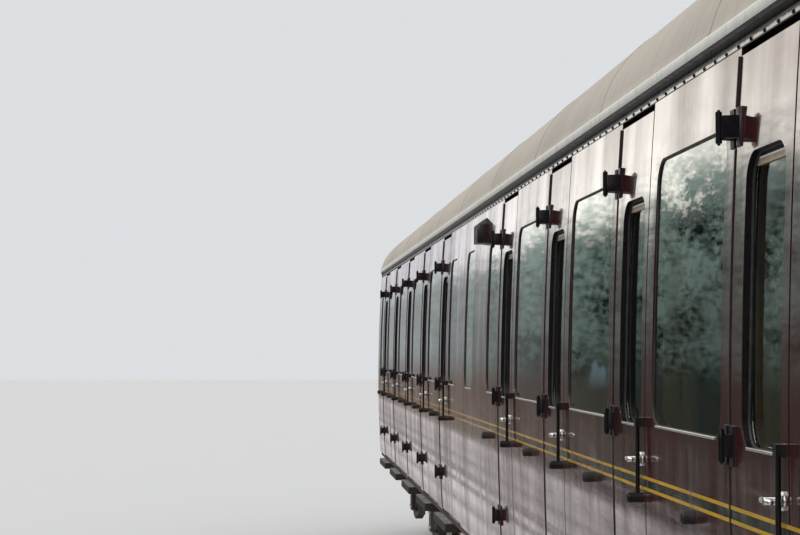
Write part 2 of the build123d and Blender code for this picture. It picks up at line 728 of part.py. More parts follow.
FRAME_TOP = FLOOR_TOP - FLOOR_THICKNESS
BEARERS_X = tuple(
    x + edge * (DOOR_WIDTH / 2 + BEARER_WIDTH)
    for x in DOOR_CENTRES + (-SALOON_DOORS[4],)
    for edge in (-1, 1)
)
FRAME_END = BODY_LENGTH / 2 - HEADSTOCK - SEAT_GAP


def side_frame():
    """Left solebar with its truss, and the side sill on drop brackets."""
    sill = (SIDE_BOTTOM - SILL_DEPTH, SIDE_BOTTOM)
    sill_outer = side_y(SIDE_BOTTOM) - SILL_INSET
    pieces = [channel(-FRAME_END, FRAME_END, SOLEBAR_Y, SOLEBAR_BOTTOM, FRAME_TOP, 1)]
    pieces.append(block(-FRAME_END, FRAME_END, SILL_INNER, sill_outer, *sill))
    for x in BEARERS_X:
        span = (x - BEARER_WIDTH / 2, x + BEARER_WIDTH / 2)
        pieces.append(block(*span, SOLEBAR_Y + SOLEBAR_WEB, SILL_INNER, *sill))
    return Part() + pieces + truss()


def ladder():
    """Centre sill and the cross bearers between the solebars."""
    reach = SOLEBAR_Y - SEAT_GAP
    low = FRAME_TOP - BEARER_DEPTH / 2
    pieces = [block(-FRAME_END, FRAME_END, -CENTRE_SILL_Y, CENTRE_SILL_Y, low, FRAME_TOP)]
    for x in BEARERS_X:
        span = (x - BEARER_WIDTH / 2, x + BEARER_WIDTH / 2)
        pieces.append(block(*span, -reach, reach, FRAME_TOP - BEARER_DEPTH, FRAME_TOP))
    return Part() + pieces


def headstock():
    """Front headstock, across the ends of the solebars, notched for the end wall."""
    front = BODY_LENGTH / 2
    beam = block(front - HEADSTOCK, front, -SILL_INNER, SILL_INNER, HEADSTOCK_BOTTOM, FRAME_TOP)
    return beam - block(INSIDE, front + 1, -HALF_WIDTH, HALF_WIDTH, SIDE_BOTTOM, FLOOR_TOP)


def body_bolster(x):
    """Bolster over a bogie with its centre plate, between the solebars and under the cross bearers."""
    span = (x - BOLSTER_WIDTH / 2, x + BOLSTER_WIDTH / 2)
    top = FRAME_TOP - BEARER_DEPTH - SEAT_GAP
    reach = SOLEBAR_Y - SEAT_GAP
    beam = block(*span, -reach, reach, BOLSTER_TOP + CENTRE_PLATE, top)
    plate = Cylinder(CENTRE_PLATE_RADIUS, CENTRE_PLATE)
    return beam + Pos(x, 0, BOLSTER_TOP + CENTRE_PLATE / 2) * plate


def underframe():
    """Side frames, ladder, headstocks and bolsters, seated against each other."""
    left, front = side_frame(), headstock()
    bolsters = [body_bolster(end * BOGIE_CENTRES / 2) for end in (1, -1)]
    return solids_of([left, other_side(left), ladder(), front, turned(front), *bolsters])


def footstep(x):
    """Step board under a door, carried from the solebar by two arms."""
    top = SIDE_BOTTOM - SILL_DEPTH
    inner, low = SOLEBAR_Y + SOLEBAR_WIDTH, top - STEP_THICKNESS
    board = block(x - STEP_LENGTH / 2, x + STEP_LENGTH / 2, STEP_INNER, STEP_OUTER, low, top)
    for end in (-1, 1):
        arm = (x + end * STEP_LENGTH / 3 - STEP_ARM / 2, x + end * STEP_LENGTH / 3 + STEP_ARM / 2)
        board += block(*arm, inner, STEP_INNER, low, low + STEP_THICKNESS / 2)
    return board


def underfloor_equipment():
    """Battery boxes forward and air reservoirs behind, hung from pairs of cross bearers."""
    top = FRAME_TOP - BEARER_DEPTH
    from_door = DOOR_WIDTH / 2 + BEARER_WIDTH
    bearers = (SALOON_DOORS[4] + from_door, SALOON_DOORS[3] - from_door)
    middle_x = sum(bearers) / 2
    long, wide, high = BATTERY_BOX
    pieces = []
    for side in (1, -1):
        inner = side * (SOLEBAR_Y - TRUSS_BAR)
        box = block(middle_x - long / 2, middle_x + long / 2, inner, inner - side * wide, top - high, top)
        pieces.append(fillet(box.edges().filter_by(Axis.X), radius=30))
        y, z = side * SOLEBAR_Y / 2, top - CYLINDER_RADIUS - CYLINDER_DROP
        tank = Pos(-middle_x, y, z) * Rot(0, 90, 0) * Cylinder(CYLINDER_RADIUS, CYLINDER_LENGTH)
        tank = fillet(tank.edges().filter_by(GeomType.CIRCLE), radius=60)
        for x in bearers:
            tank += block(-x - STRAP / 2, STRAP / 2 - x, y - 1.5 * STRAP, y + 1.5 * STRAP, z, top)
        pieces.append(tank)
    return pieces


# Buffers and drawgear

def buffer():
    """Front left buffer: a stepped barrel on a base plate, and a dished head."""
    root = BODY_LENGTH / 2
    outline = Polyline(
        (0, 0),
        (0, BUFFER_FOOT_RADIUS),
        (BUFFER_FOOT, BUFFER_FOOT_RADIUS),
        (BUFFER_FOOT, BUFFER_BARREL_RADIUS + BUFFER_FOOT),
        (BUFFER_BARREL, BUFFER_BARREL_RADIUS),
        (BUFFER_BARREL, BUFFER_SHANK_RADIUS),
        (BUFFER_REACH - 2.5 * BUFFER_HEAD, BUFFER_SHANK_RADIUS),
        (BUFFER_REACH - BUFFER_HEAD, BUFFER_HEAD_RADIUS),
        (BUFFER_REACH - BUFFER_HEAD / 2, BUFFER_HEAD_RADIUS),
        (BUFFER_REACH, BUFFER_HEAD_RADIUS / 3),
        (BUFFER_REACH, 0),
        close=True,
    )
    turned_shape = revolve(make_face(outline.edges()), Axis.X)
    return Pos(root, BUFFER_Y, BUFFER_Z) * turned_shape


def drawhook():
    """Front drawhook: a shank through a plate on the headstock, and a hook open at the top."""
    root = BODY_LENGTH / 2
    middle = root + DRAWHOOK_REACH
    thick, wide, high = DRAWHOOK_PLATE
    half = DRAWHOOK_SHANK / 2
    plate = block(root, root + thick, -wide / 2, wide / 2, DRAWHOOK_Z - high / 2, DRAWHOOK_Z + high / 2)
    shank_end = middle - DRAWHOOK_MOUTH_RADIUS - thick
    shank = block(root, shank_end, -DRAWHOOK_HALF, DRAWHOOK_HALF, DRAWHOOK_Z - half, DRAWHOOK_Z + half)
    plane = Plane((middle, 0, DRAWHOOK_Z), x_dir=(1, 0, 0), z_dir=(0, -1, 0))
    along, up = DRAWHOOK_MOUTH
    mouth = Pos(along, up) * Circle(DRAWHOOK_MOUTH_RADIUS)
    mouth += Pos(along, up + DRAWHOOK_RADIUS) * Rectangle(DRAWHOOK_GAPE, 2 * DRAWHOOK_RADIUS)
    hook = extrude(plane * Circle(DRAWHOOK_RADIUS), amount=DRAWHOOK_HALF, both=True)
    hook -= extrude(plane * mouth, amount=DRAWHOOK_HALF + thick, both=True)
    return plate + shank + hook


# Bogies, drawn about their own centre

def wheelset():
    """Axle and two wheels in one turned piece, with coned treads, flanges and dished webs."""
    inner, outer = WHEEL_INNER_Y, WHEEL_INNER_Y + TREAD_WIDTH
    flange_tip = WHEEL_RADIUS + FLANGE_DEPTH
    root = inner + FLANGE_THICKNESS
    rim = WHEEL_RADIUS - 60
    hub = 130
    half = [
        (0, AXLE_RADIUS),
        (inner - 20, AXLE_RADIUS + 10),
        (inner - 20, hub),
        (inner + 50, hub),
        (inner + 30, rim),
        (inner, rim + 10),
        (inner, flange_tip - 12),
        (inner + 8, flange_tip),
        (inner + 20, flange_tip),
        (root, WHEEL_RADIUS + 4),
        (root + 10, WHEEL_RADIUS),
        (outer - 6, WHEEL_RADIUS - 4),
        (outer, WHEEL_RADIUS - 12),
        (outer, rim + 10),
        (inner + 70, rim),
        (inner + 95, hub),
        (outer + 30, hub),
        (outer + 30, AXLE_RADIUS),
        (outer + 60, JOURNAL_RADIUS),
        (JOURNAL_END, JOURNAL_RADIUS),
    ]
    outline = half + [(JOURNAL_END, 0), (-JOURNAL_END, 0)] + [(-y, r) for y, r in reversed(half)][:-1]
    plane = Plane((0, 0, 0), x_dir=(0, 1, 0), z_dir=(1, 0, 0))
    turned_shape = revolve(plane * make_face(Polyline(*outline, close=True).edges()), Axis.Y)
    return Pos(0, 0, WHEEL_RADIUS) * turned_shape


def axlebox(x):
    """Left axlebox over its journal, with the laminated spring hung below it."""
    y0 = SIDE_FRAME_Y - AXLEBOX_SIZE / 4
    y1 = JOURNAL_END + AXLEBOX_CAP
    half = AXLEBOX_SIZE / 2
    z = WHEEL_RADIUS
    box = block(x - half, x + half, y0, y1, z - half, z + half)
    box = fillet(box.edges().filter_by(Axis.Y), radius=AXLEBOX_CORNER)
    bore = 2 * AXLEBOX_SIZE
    journal = Rot(90, 0, 0) * Cylinder(JOURNAL_RADIUS + JOURNAL_PLAY, bore)
    box -= Pos(x, JOURNAL_END + JOURNAL_PLAY - bore / 2, z) * journal
    spring_y = (SIDE_FRAME_Y - LEAF_WIDTH / 2, SIDE_FRAME_Y + LEAF_WIDTH / 2)
    for leaf in range(SPRING_LEAVES):
        reach = SPRING_SPAN / 2 * (1 - leaf / (SPRING_LEAVES + 1))
        top = z - half - leaf * LEAF_THICKNESS
        box += block(x - reach, x + reach, *spring_y, top - LEAF_THICKNESS, top)
    return box


def bogie_frame():
    """Plate frame with horn gaps, cross members, bolster, spring hangers and clasp brakes."""
    half = BOGIE_LENGTH / 2
    axle = BOGIE_WHEELBASE / 2
    low = SIDE_FRAME_TOP - SIDE_FRAME_DEPTH
    horn = low - HORN_DROP
    crown = WHEEL_RADIUS + AXLEBOX_SIZE / 2 + HORN_CROWN
    gap = AXLEBOX_SIZE / 2 + SEAT_GAP
    y0, y1 = SIDE_FRAME_Y - SIDE_FRAME_THICKNESS / 2, SIDE_FRAME_Y + SIDE_FRAME_THICKNESS / 2
    outline = Polyline(
        (-half, SIDE_FRAME_TOP),
        (half, SIDE_FRAME_TOP),
        (half, low + SIDE_FRAME_DEPTH / 3),
        (axle + gap + HORN, horn),
        (axle + gap, horn),
        (axle + gap, crown),
        (axle - gap, crown),
        (axle - gap, horn),
        (axle - gap - HORN, horn),
        (axle - gap - HORN_SPREAD, low),
        (HORN_SPREAD + gap - axle, low),
        (HORN + gap - axle, horn),
        (gap - axle, horn),
        (gap - axle, crown),
        (-axle - gap, crown),
        (-axle - gap, horn),
        (-axle - gap - HORN, horn),
        (-half, low + SIDE_FRAME_DEPTH / 3),
        close=True,
    )
    plane = Plane((0, y0, 0), x_dir=(1, 0, 0), z_dir=(0, -1, 0))
    side = extrude(plane * make_face(outline.edges()), amount=y0 - y1)
    pieces = [side, other_side(side)]
    for end in (1, -1):
        beam = (end * (half - END_BEAM), end * half)
        pieces.append(block(*beam, -y1, y1, SIDE_FRAME_TOP - END_BEAM_DEPTH, SIDE_FRAME_TOP))
    pieces.append(block(-BOLSTER_WIDTH / 2, BOLSTER_WIDTH / 2, -y1, y1, low, SIDE_FRAME_TOP))
    plate = Cylinder(CENTRE_PLATE_RADIUS, BOLSTER_TOP - SIDE_FRAME_TOP)
    pieces.append(Pos(0, 0, (SIDE_FRAME_TOP + BOLSTER_TOP) / 2) * plate)
    for x in (axle, -axle):
        pieces += brake(x) + [other_side(hanger) for hanger in spring_hangers(x)] + spring_hangers(x)
    return Part() + pieces


def spring_hangers(x):
    """Left hangers that take the ends of an axlebox spring up to the frame."""
    foot = WHEEL_RADIUS - AXLEBOX_SIZE / 2 - LEAF_THICKNESS
    top = SIDE_FRAME_TOP - SIDE_FRAME_DEPTH / 2
    across = (SIDE_FRAME_Y - LEAF_WIDTH / 2, SIDE_FRAME_Y + LEAF_WIDTH / 2)
    hangers = []
    for end in (1, -1):
        near = x + end * (SPRING_SPAN / 2 + SEAT_GAP)
        hangers.append(block(near, near + end * SPRING_HANGER, *across, foot, top))
    return hangers


def brake(x):
    """Two brake shoes on a beam across the frame, on the bogie's inner side of an axle."""
    inward = -1 if x > 0 else 1
    reach = WHEEL_RADIUS + BRAKE_GAP
    span = (x + inward * (reach - BRAKE_SHOE), x + inward * (reach + BRAKE_SHOE))
    tread = (WHEEL_INNER_Y + TREAD_WIDTH - BRAKE_SHOE_WIDTH, WHEEL_INNER_Y + TREAD_WIDTH)
    shoe = block(*span, *tread, WHEEL_RADIUS - BRAKE_SHOE_HEIGHT / 2, WHEEL_RADIUS + BRAKE_SHOE_HEIGHT / 2)
    shoe -= Pos(x, 0, WHEEL_RADIUS) * Rot(90, 0, 0) * Cylinder(reach, 4 * WHEEL_INNER_Y)
    beam_x = x + inward * (reach + BRAKE_SHOE)
    side = SIDE_FRAME_Y - SIDE_FRAME_THICKNESS / 2
    beam_z = (WHEEL_RADIUS - BRAKE_BEAM / 2, WHEEL_RADIUS + BRAKE_BEAM / 2)
    beam = block(beam_x, beam_x + inward * BRAKE_BEAM, -side, side, *beam_z)
    posts = []
    for y in (side, -side):
        post_y = (y, y - math.copysign(BRAKE_BEAM, y))
        posts.append(block(beam_x, beam_x + inward * BRAKE_BEAM, *post_y, beam_z[0], SIDE_FRAME_TOP))
    return [shoe, other_side(shoe), beam, *posts]


def lifted(shape):
    """Heights above rail become heights above the flanges."""
    return Pos(0, 0, FLANGE_DEPTH) * shape


def write(name, shape):
    export_step(lifted(shape), f"parts/{name}.step")


def main():
    os.makedirs("parts", exist_ok=True)
    write("roof", roof())
    front_wall = end_wall()
    write("end_walls", solids_of([front_wall, turned(front_wall)]))
    front_gangway = gangway()
    write("gangways", solids_of([front_gangway, turned(front_gangway)]))
    write("side_panels_left", solids_of(side_panels(1)))
    write("side_panels_right", solids_of([other_side(panel) for panel in side_panels(-1)]))
    write("window_glass", solids_of(window_panes(1) + [other_side(pane) for pane in window_panes(-1)]))
    write("floor", block(-INSIDE, INSIDE, -FLOOR_HALF_WIDTH, FLOOR_HALF_WIDTH, FRAME_TOP, FLOOR_TOP))
    write("partitions", solids_of(partitions()))
    write("seats", solids_of(seats()))
    write("luggage_racks", solids_of(luggage_racks()))
    write("underframe", underframe())
    write("underfloor_equipment", solids_of(underfloor_equipment()))
    steps = [footstep(x) for x in DOOR_CENTRES]
    write("footsteps", solids_of(steps + [other_side(step) for step in steps]))
    left_front = buffer()
    gear = [left_front, other_side(left_front), drawhook()]
    write("buffers_and_drawgear", solids_of(gear + [turned(piece) for piece in gear]))

    leaf, pane, stop = door_leaf(), door_pane(), door_stop()
    brackets = hinge_brackets()
    all_brackets, all_stops = [], []
    for number, x in enumerate(DOOR_CENTRES, 1):
        left, right = Pos(x, 0, 0), Pos(x, 0, 0) * Rot(0, 0, 180)
        for side, place in (("left", left), ("right", right)):
            write(f"door_{side}_{number}", place * leaf)
            write(f"door_{side}_{number}_glass", place * pane)
            all_brackets += [place * bracket for bracket in brackets]
            all_stops.append(place * stop)
    write("hinge_brackets", solids_of(all_brackets))
    write("door_stops", solids_of(all_stops))

    frame = bogie_frame()
    axle = BOGIE_WHEELBASE / 2
    boxes = [axlebox(axle), axlebox(-axle)]
    boxes += [other_side(box) for box in boxes]
    turning = wheelset()
    for name, x in (("front", BOGIE_CENTRES / 2), ("rear", -BOGIE_CENTRES / 2)):
        write(f"bogie_{name}_frame", Pos(x, 0, 0) * frame)
        write(f"bogie_{name}_axleboxes", solids_of([Pos(x, 0, 0) * box for box in boxes]))
        write(f"wheelset_{name}_leading", Pos(x + axle, 0, 0) * turning)
        write(f"wheelset_{name}_trailing", Pos(x - axle, 0, 0) * turning)


main()
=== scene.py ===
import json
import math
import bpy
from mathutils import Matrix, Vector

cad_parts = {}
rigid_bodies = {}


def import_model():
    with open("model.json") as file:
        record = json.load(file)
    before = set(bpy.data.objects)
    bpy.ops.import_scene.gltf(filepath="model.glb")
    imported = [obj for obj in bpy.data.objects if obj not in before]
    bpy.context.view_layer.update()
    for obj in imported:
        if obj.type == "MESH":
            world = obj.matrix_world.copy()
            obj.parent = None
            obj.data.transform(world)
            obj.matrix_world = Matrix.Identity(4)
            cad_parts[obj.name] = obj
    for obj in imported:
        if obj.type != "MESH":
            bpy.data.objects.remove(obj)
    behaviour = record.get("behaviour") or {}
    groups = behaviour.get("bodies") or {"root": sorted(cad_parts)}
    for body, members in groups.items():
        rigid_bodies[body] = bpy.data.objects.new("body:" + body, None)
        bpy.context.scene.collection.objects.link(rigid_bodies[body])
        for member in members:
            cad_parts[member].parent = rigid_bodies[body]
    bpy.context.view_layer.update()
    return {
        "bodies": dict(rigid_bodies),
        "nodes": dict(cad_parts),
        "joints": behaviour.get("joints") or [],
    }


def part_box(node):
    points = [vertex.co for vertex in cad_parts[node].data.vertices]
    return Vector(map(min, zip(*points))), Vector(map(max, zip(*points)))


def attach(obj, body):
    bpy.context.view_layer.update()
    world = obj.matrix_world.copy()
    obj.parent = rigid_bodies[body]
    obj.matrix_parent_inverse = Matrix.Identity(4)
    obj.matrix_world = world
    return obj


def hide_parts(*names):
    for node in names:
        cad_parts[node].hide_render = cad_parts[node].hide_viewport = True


bl_info = {
    "name": "Slam-door coach finish",
    "version": (1, 0, 0),
    "blender": (4, 5, 0),
    "location": "3D View > Sidebar > Coach",
    "description": "Dresses the slam-door coach: paint, lining, doors, seals, seats, fittings and a studio",
    "category": "Object",
}

import bmesh
import bpy
from bpy.props import FloatProperty, FloatVectorProperty, IntProperty, PointerProperty
from mathutils import Matrix, Vector
from mathutils.geometry import convex_hull_2d

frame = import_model()
COACH = "coach_body"

# Places that the frame gives
DOORS = tuple(name for name in frame["bodies"] if name.startswith("door_"))
WHEELSETS = tuple(name for name in frame["bodies"] if name.startswith("wheelset_"))
BOGIES = ("bogie_front", "bogie_rear")
PIVOTS = {joint["child"]: Vector(joint["pos_m"]) for joint in frame["joints"]}
BODY_LOW, BODY_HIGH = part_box("end_walls")
ROOF_LOW, ROOF_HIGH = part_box("roof")
FLOOR_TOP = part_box("floor")[1].z

# The side's curve, and heights above the flanges, in metres
RAIL = 0.028
SIDE_RADIUS = 17.0
HALF_WIDTH = 1.41
WIDEST_Z = 1.946 + RAIL
CANTRAIL_Z = 3.205 + RAIL
GUTTER_Z = 3.262 + RAIL
GUTTER_TOP = 3.300 + RAIL
DOOR_TOP = 3.180 + RAIL
DOOR_BOTTOM = 0.985 + RAIL
DROPLIGHT = (2.000 + RAIL, 2.870 + RAIL)
DROPLIGHT_WIDTH = 0.412
DROPLIGHT_FROM_PIN = -0.334
HINGE_HEIGHTS = (2.960 + RAIL, 2.000 + RAIL, 1.280 + RAIL)
LAVATORY_PANE = 0.495
HANDLE_Z = 1.880 + RAIL
HANDLE_FROM_PIN = -0.551
HINGE_FROM_PIN = -0.075
GRAB_FROM_PIN = -0.555

# Tolerances, in metres
MERGE = 1e-5
PROUD = 0.0015
ON_SKIN = 0.0006


def side_y(z, out=0.0):
    """Half width of the body at a height, plus a distance out from the skin."""
    reach = SIDE_RADIUS + out
    return HALF_WIDTH - SIDE_RADIUS + math.sqrt(reach**2 - (z - WIDEST_Z) ** 2)


# Shader tools

class Shade:
    """A material, or a shader group, being wired up by short calls."""

    # The colour sockets of a Mix node, which share their names with its other sockets
    MIX_A, MIX_B, MIX_RESULT = 6, 7, 2

    def __init__(self, tree):
        self.tree = tree
        self.tree.nodes.clear()

    def node(self, kind, **settings):
        made = self.tree.nodes.new(kind)
        for key, value in settings.items():
            setattr(made, key, value)
        return made

    def put(self, value, socket):
        """Links a socket, or sets a plain value."""
        if isinstance(value, bpy.types.NodeSocket):
            self.tree.links.new(value, socket)
        else:
            socket.default_value = value

    def math(self, operation, a, b=0.0, c=0.0, clamp=False):
        made = self.node("ShaderNodeMath", operation=operation, use_clamp=clamp)
        for value, socket in zip((a, b, c), made.inputs):
            self.put(value, socket)
        return made.outputs[0]

    def mix(self, factor, a, b, blend="MIX"):
        made = self.node("ShaderNodeMix", data_type="RGBA", blend_type=blend)
        self.put(factor, made.inputs["Factor"])
        for value, number in ((a, self.MIX_A), (b, self.MIX_B)):
            self.put(value, made.inputs[number])
        return made.outputs[self.MIX_RESULT]

    def noise(self, place, scale, detail=3.0, roughness=0.55, stretch=(1, 1, 1)):
        if stretch != (1, 1, 1):
            mapping = self.node("ShaderNodeMapping")
            self.put(place, mapping.inputs["Vector"])
            mapping.inputs["Scale"].default_value = stretch
            place = mapping.outputs[0]
        made = self.node("ShaderNodeTexNoise")
        settings = {"Vector": place, "Scale": scale, "Detail": detail, "Roughness": roughness}
        for label, value in settings.items():
            self.put(value, made.inputs[label])
        return made.outputs["Fac"]

    def ramp(self, value, low, high, to_low=0.0, to_high=1.0):
        """Maps low to high onto another range, held at both ends."""
        made = self.node("ShaderNodeMapRange")
        self.put(value, made.inputs["Value"])
        for socket, number in zip(made.inputs[1:5], (low, high, to_low, to_high)):
            self.put(number, socket)
        return made.outputs[0]

    def place(self):
        """The object's own coordinates, which stay with the piece in every pose."""
        return self.node("ShaderNodeTexCoord").outputs["Object"]

    def axes(self, place):
        made = self.node("ShaderNodeSeparateXYZ")
        self.put(place, made.inputs[0])
        return made.outputs

    def bump(self, height, distance, strength=1.0, normal=None):
        made = self.node("ShaderNodeBump")
        self.put(height, made.inputs["Height"])
        made.inputs["Distance"].default_value = distance
        made.inputs["Strength"].default_value = strength
        if normal is not None:
            self.put(normal, made.inputs["Normal"])
        return made.outputs[0]

    def group(self, group_tree, **values):
        made = self.node("ShaderNodeGroup", node_tree=group_tree)
        for key, value in values.items():
            self.put(value, made.inputs[key.replace("_", " ")])
        return made.outputs

    def surface(self, **values):
        shader = self.node("ShaderNodeBsdfPrincipled")
        for key, value in values.items():
            self.put(value, shader.inputs[key.replace("_", " ")])
        output = self.node("ShaderNodeOutputMaterial")
        self.tree.links.new(shader.outputs[0], output.inputs["Surface"])
        return shader


def new_material(name):
    material = bpy.data.materials.new(name)
    material.use_nodes = True
    return material, Shade(material.node_tree)


def new_group(name, inputs, outputs):
    """A shader group with named sockets: (name, socket type, default)."""
    tree = bpy.data.node_groups.new(name, "ShaderNodeTree")
    shade = Shade(tree)
    for label, kind, default in inputs:
        socket = tree.interface.new_socket(label, in_out="INPUT", socket_type=kind)
        if default is not None:
            socket.default_value = default
    for label, kind in outputs:
        tree.interface.new_socket(label, in_out="OUTPUT", socket_type=kind)
    return tree, shade, shade.node("NodeGroupInput").outputs, shade.node("NodeGroupOutput").inputs


VECTOR, FLOAT, COLOUR = "NodeSocketVector", "NodeSocketFloat", "NodeSocketColor"


def road_dust_group():
    """Brake dust and dried rain: more of it low down, broken up by noise and vertical runs."""
    inputs = (
        ("Place", VECTOR, None),
        ("Colour", COLOUR, (0.1, 0.1, 0.1, 1)),
        ("Dust", COLOUR, (0.16, 0.12, 0.09, 1)),
        ("Low", FLOAT, 0.3),
        ("High", FLOAT, 1.6),
        ("Amount", FLOAT, 0.5),
    )
    tree, s, given, out = new_group("road dust", inputs, (("Colour", COLOUR), ("Mask", FLOAT)))
    height = s.axes(given["Place"])[2]
    fall = s.ramp(height, given["Low"], given["High"], 1.0, 0.0)
    cloud = s.ramp(s.noise(given["Place"], 2.3, 6), 0.35, 0.7)
    runs = s.ramp(s.noise(given["Place"], 1.0, 4, stretch=(38, 38, 1.2)), 0.42, 0.75)
    patches = s.math("MULTIPLY_ADD", cloud, 0.6, s.math("MULTIPLY", runs, 0.5))
    mask = s.math("MULTIPLY", patches, fall)
    mask = s.math("MULTIPLY", mask, given["Amount"], clamp=True)
    s.put(s.mix(mask, given["Colour"], given["Dust"]), out["Colour"])
    s.put(mask, out["Mask"])
    return tree


def band_group():
    """A painted band between two heights."""
    inputs = (
        ("Place", VECTOR, None),
        ("Colour", COLOUR, (0, 0, 0, 1)),
        ("Band", COLOUR, (1, 1, 1, 1)),
        ("Middle", FLOAT, 1.0),
        ("Half", FLOAT, 0.01),
    )
    tree, s, given, out = new_group("painted band", inputs, (("Colour", COLOUR),))
    height = s.axes(given["Place"])[2]
    mask = s.math("COMPARE", height, given["Middle"], given["Half"])
    s.put(s.mix(mask, given["Colour"], given["Band"]), out["Colour"])
    return tree


def wear_group():
    """Chips and rubbed patches that let a second colour through."""
    inputs = (
        ("Place", VECTOR, None),
        ("Colour", COLOUR, (0, 0, 0, 1)),
        ("Under", COLOUR, (0.3, 0.2, 0.15, 1)),
        ("Scale", FLOAT, 20.0),
        ("Amount", FLOAT, 0.3),
    )
    tree, s, given, out = new_group("paint wear", inputs, (("Colour", COLOUR), ("Height", FLOAT)))
    fine = s.noise(given["Place"], given["Scale"], 8, 0.7)
    edge = s.math("SUBTRACT", 0.78, s.math("MULTIPLY", given["Amount"], 0.35))
    mask = s.ramp(fine, edge, s.math("ADD", edge, 0.05))
    s.put(s.mix(mask, given["Colour"], given["Under"]), out["Colour"])
    s.put(s.math("SUBTRACT", fine, mask), out["Height"])
    return tree


# Materials

def painted_rows(s, band, place, colour, rows):
    """Lays level rows of paint over a colour: (middle, half height, paint)."""
    for middle, half, paint in rows:
        row = s.group(band, Place=place, Colour=colour, Band=paint, Middle=middle, Half=half)
        colour = row["Colour"]
    return colour


def coach_paint(name, base, dust, band):
    """Lined gloss enamel on wavy steel panels, with dust low down and pale vertical streaks below the sills
    painted in as a reflection.
    """
    settings = bpy.context.scene.coach
    material, s = new_material(name)
    place = s.place()
    tone = s.ramp(s.noise(place, 0.7, 4), 0.3, 0.7, 0.82, 1.12)
    shade = s.node("ShaderNodeHueSaturation")
    s.put(base, shade.inputs["Color"])
    s.put(tone, shade.inputs["Value"])
    colour = shade.outputs[0]
    yellow = (*settings.lining_colour, 1)
    width = settings.lining_width
    line_offset = 1.7 * width
    middle = settings.lining_height + RAIL
    rows = (
        (middle, width * 2, (0.010, 0.014, 0.006, 1)),
        (middle + line_offset, width / 2, yellow),
        (middle - line_offset, width / 2, yellow),
    )
    colour = painted_rows(s, band, place, colour, rows)
    brown_dust = (0.13, 0.10, 0.085, 1)
    dusty = s.group(
        dust, Place=place, Colour=colour, Dust=brown_dust, Low=0.95, High=2.6, Amount=settings.dust
    )
    height = s.axes(place)[2]
    # Pale vertical streaks under the sills, fading out towards the bottom: a painted reflection mixed into
    # the colour.
    faded = s.ramp(height, 1.3 + RAIL, 1.9 + RAIL)
    from_sill = s.ramp(height, 2.0 + RAIL, 1.93 + RAIL)
    runs = s.ramp(s.noise(place, 1.0, 4, 0.6, stretch=(17, 1, 0.3)), 0.45, 0.7, 0.0, 0.38)
    painted_reflection_streaks = s.math("MULTIPLY", runs, s.math("MULTIPLY", faded, from_sill))
    coloured = s.mix(painted_reflection_streaks, dusty["Colour"], (0.20, 0.165, 0.145, 1))
    waves = (
        (s.noise(place, 1.9, 2, stretch=(1.0, 1.0, 0.55)), 0.007),
        (s.noise(place, 1.0, 2, 0.5, stretch=(5, 0.2, 0.5)), 0.0016),
        (s.noise(place, 1.0, 3, 0.5, stretch=(1.2, 1.0, 7)), 0.0055),
    )
    normal = None
    for wave, depth in waves:
        normal = s.bump(wave, depth, normal=normal)
    film = s.ramp(s.noise(place, 1.0, 3, 0.5, stretch=(3.2, 1, 0.55)), 0.36, 0.62)
    grime = s.noise(place, 9, 7, 0.65)
    wiped = s.ramp(s.noise(place, 1.0, 4, 0.6, stretch=(18, 1, 0.5)), 0.45, 0.75, 0.0, 0.05)
    rough = s.math("ADD", s.ramp(grime, 0.4, 0.8, 0.12, 0.22), s.math("MULTIPLY", dusty["Mask"], 0.4))
    s.surface(
        Base_Color=coloured,
        Roughness=s.math("ADD", rough, wiped),
        Normal=normal,
        Coat_Weight=s.math("MULTIPLY_ADD", film, 0.55, 0.45),
        Coat_Roughness=s.math("ADD", wiped, 0.025),
        Specular_IOR_Level=s.math("MULTIPLY_ADD", film, 0.2, 0.15),
    )
    return material


